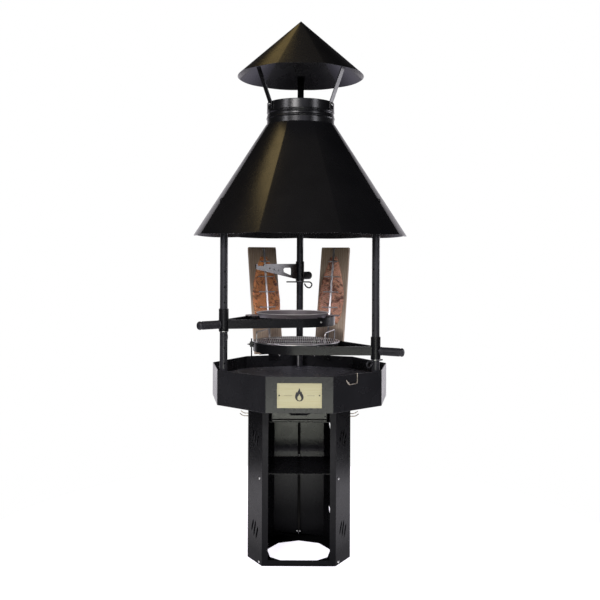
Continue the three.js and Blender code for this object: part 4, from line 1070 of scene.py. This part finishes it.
def make_grate():
    """A round wire grate: a ring, close bars on three cross wires, two handles and three hooked legs."""
    seat = 945.6
    ring_wire, bar_wire, cross_wire, handle_wire = 3, 1.9, 2.4, 2.5
    bar_pitch, shortest_bar = 9.5, 20
    bar_z, cross_z, leg_z, handle_top, leg_foot = seat + 4.4, seat + 2, seat + 3, seat + 49, seat - 85
    circle = [Vector((HOOP_RADIUS * math.cos(a), HOOP_RADIUS * math.sin(a), seat + ring_wire)) for a in around(144)]
    parts = [wire(circle, ring_wire, 0.01, 12, closed=True)]

    def chord(offset):
        return math.sqrt(HOOP_RADIUS ** 2 - offset ** 2)
    rows = int(HOOP_RADIUS / bar_pitch)
    for x in (row * bar_pitch for row in range(-rows, rows + 1)):
        if chord(x) > shortest_bar:
            parts.append(wire([(x, -chord(x), bar_z), (x, chord(x), bar_z)], bar_wire, 0, 8))
    for y in (-112, 0, 112):
        parts.append(wire([(-chord(y), y, cross_z), (chord(y), y, cross_z)], cross_wire, 0, 10))
    for side in (1, -1):
        first, last = (side * 126, side * -112), (side * 176, side * 76)
        parts.append(wire([(*first, cross_z), (*first, handle_top), (*last, handle_top), (*last, cross_z)],
                          handle_wire, 13, 12))
    for bearing in (2.8, 205.5, 152.5):
        outer, leg = toward(bearing) * HOOP_RADIUS, toward(bearing) * 184
        parts.append(wire([(outer.x, outer.y, leg_z), (leg.x, leg.y, leg_z), (leg.x, leg.y, leg_foot)],
                          handle_wire, 7, 12))
    piece("cooking_grate", merged(parts).placed(held_place("grate")), "stainless_wire")


# Length inside the post and size of the loop outside it.
PIN_SIZES = {"left": (30, 40), "right": (45, 38), "rear": (66, 40)}


def make_pins():
    """Bent wire pins: straight through the post, then a loop that hangs in front of it."""
    pin_wire = 3.4
    for side, (inside, loop) in PIN_SIZES.items():
        spec = POSTS[side]
        place = on_post(side, spec["pin_z"], spec["pin_heading"])
        line = [(-inside, 0, 0), (22 + loop * 0.75, 0, 0), (22 + loop, 0, -loop * 0.32),
                (22 + loop * 0.7, 0, -loop * 0.78), (22 + loop * 0.25, 0, -loop * 0.62), (23, 0, -9)]
        # The pins take the posts' lighter coat copy, whose extra colour is painted light.
        piece(spec["pin"], wire(line, pin_wire, 16, 14).placed(place), "post_coat_painted_light")


def make_rim_hook():
    hook_wire, clearance = 2.2, 2.5
    face = BRAZIER_RADIUS * APOTHEM + clearance
    inner = BRAZIER_RADIUS * APOTHEM - SHEET - clearance
    top = high("brazier_walls").z + clearance
    line = [(-8, top - 30, inner), (-8, top, inner), (-8, top, face), (-8, top - 40, face), (-56, top - 42, face),
            (-70, top - 22, face)]
    piece("rim_hook", wire(line, hook_wire, 9).placed(radial_frame(0, FACET, 0)), "hook_wire")


# ---------- roasting planks ----------

PLANK_WIDTH = 147
PLANK_THICKNESS = 20
PLANK_LENGTH = 536
PLANK_LEAN = 11
PLANK_FOOT_RADIUS = 384
PLANK_BEARINGS = {"left": -156.5, "right": 158}


def plank_place(side):
    """Local frame: x across, y up the face, z outwards, with the foot over the brazier's rim."""
    return radial_frame(PLANK_FOOT_RADIUS, PLANK_BEARINGS[side], high("brazier_walls").z + 8, -PLANK_LEAN)


def plank_board(seed):
    """A board with a slightly worn surface and eased ends."""
    steps, wear_depth = 40, 0.5
    end_width, end_thickness = 0.985, 0.9
    half, thick = PLANK_WIDTH / 2, PLANK_THICKNESS / 2
    section = soft_box(-half, half, -thick, thick, 2.2, 4)
    rings = []
    for i in range(steps + 1):
        y = PLANK_LENGTH * i / steps
        across, deep = (end_width, end_thickness) if i in (0, steps) else (1, 1)
        ring = []
        for x, z in section:
            wear = wear_depth * noise.noise(Vector((x / 30, y / 60, seed + z / 30)))
            ring.append((x * across + wear, y, z * deep + wear * 0.5))
        rings.append(ring)
    return lofted(rings)


# How the two fillets differ: sideways lean, widest half, and seeds of the ragged edge and of the lumps.
FILLETS = {"left": (-3, 73, 3.1, 5.0), "right": (3, 66, 8.7, 11.0)}


def fillet(side):
    """A roasted side of salmon: full in the middle, thin at its edges, with flakes across it."""
    lean, widest, edge_seed, lump_seed = FILLETS[side]
    first, last = 150, 486
    depth, back = 15.5, -PLANK_THICKNESS / 2 - 0.3
    across, along = 36, 90
    flake_pitch, flake_slant, groove_depth = 17, 0.42, 0.9
    spine_depth, spine_width, lump_height, thinnest = 1.4, 3.2, 1.6, 0.6

    def edge(t, sign):
        belly = widest * math.sin(math.pi * min(1, 0.16 + 0.80 * t ** 0.85)) ** 0.62
        narrow = 4.5 * t ** 2
        ragged = 2.2 * noise.noise(Vector((t * 14, sign * 7, edge_seed)))
        return sign * max(9, belly * (1 - 0.35 * t ** 3) + narrow + ragged)

    def height(x, y, u, end):
        crown = max(0.0, 1 - abs(2 * u - 1) ** 3.2) ** 0.5 * (0.35 + 0.65 * end)
        groove = groove_depth * (0.5 + 0.5 * math.sin((y - flake_slant * abs(x)) * 2 * math.pi / flake_pitch)) ** 6
        spine = spine_depth * math.exp(-(x / spine_width) ** 2)
        lumps = lump_height * noise.noise(Vector((x / 22, y / 30, lump_seed)))
        full = max(thinnest, depth * 0.82 * crown + lumps * crown - (groove + spine) * crown)
        return min(full, depth + 0.3)
    rings = []
    for i in range(along + 1):
        t = i / along
        y = first + (last - first) * t
        left, right = edge(t, -1), edge(t, 1)
        end = min(1, 9 * t, 7 * (1 - t)) ** 0.5
        top = []
        for j in range(across + 1):
            x = left + (right - left) * j / across
            top.append((lean + x, y, back - height(x, y, j / across, end)))
        rings.append(top + [(x * 0.999, y, back) for x, y, _ in reversed(top)])
    return lofted(rings)


def rack():
    """A flat bar bent over the fish, with four cross wires on it."""
    face = -PLANK_THICKNESS / 2
    over = face - 16.6
    bar_z, foot_z, cross_z = over - 1.75, face - 0.4, over - 2.9
    foot, head = 42, PLANK_LENGTH - 10
    path = rounded([(0, foot, foot_z), (0, foot, bar_z), (0, head, bar_z), (0, head, foot_z)], 4, 5)
    across, section = Vector((1, 0, 0)), soft_box(-5, 5, -1.5, 1.5, 0.7)
    rings = [[p + across * x + across.cross(run) * z for x, z in section] for p, run in zip(path, directions(path))]
    crosses = [wire([(-reach, y, cross_z), (reach, y, cross_z)], 2.8, 0, 12)
               for y, reach in ((228, 40), (305, 40), (382, 40), (459, 24))]
    return merged([lofted(rings), *crosses])


def make_planks():
    for side in ("left", "right"):
        place = plank_place(side)
        piece(f"plank_{side}", plank_board(len(side)).placed(place), "plank_wood")
        refined(f"plank_holder_{side}", "black_coat", 0.5)
        piece(f"salmon_fillet_{side}", fillet(side).placed(place), "salmon", crisp=70)
        piece(f"fish_rack_{side}", rack().placed(place), "stainless_wire")


for step in (set_camera, set_stage, set_world, set_lights, make_hood, make_posts, make_brazier, make_name_plate,
             make_base, make_arms, make_pan, make_grate, make_pins, make_rim_hook, make_planks):
    step()
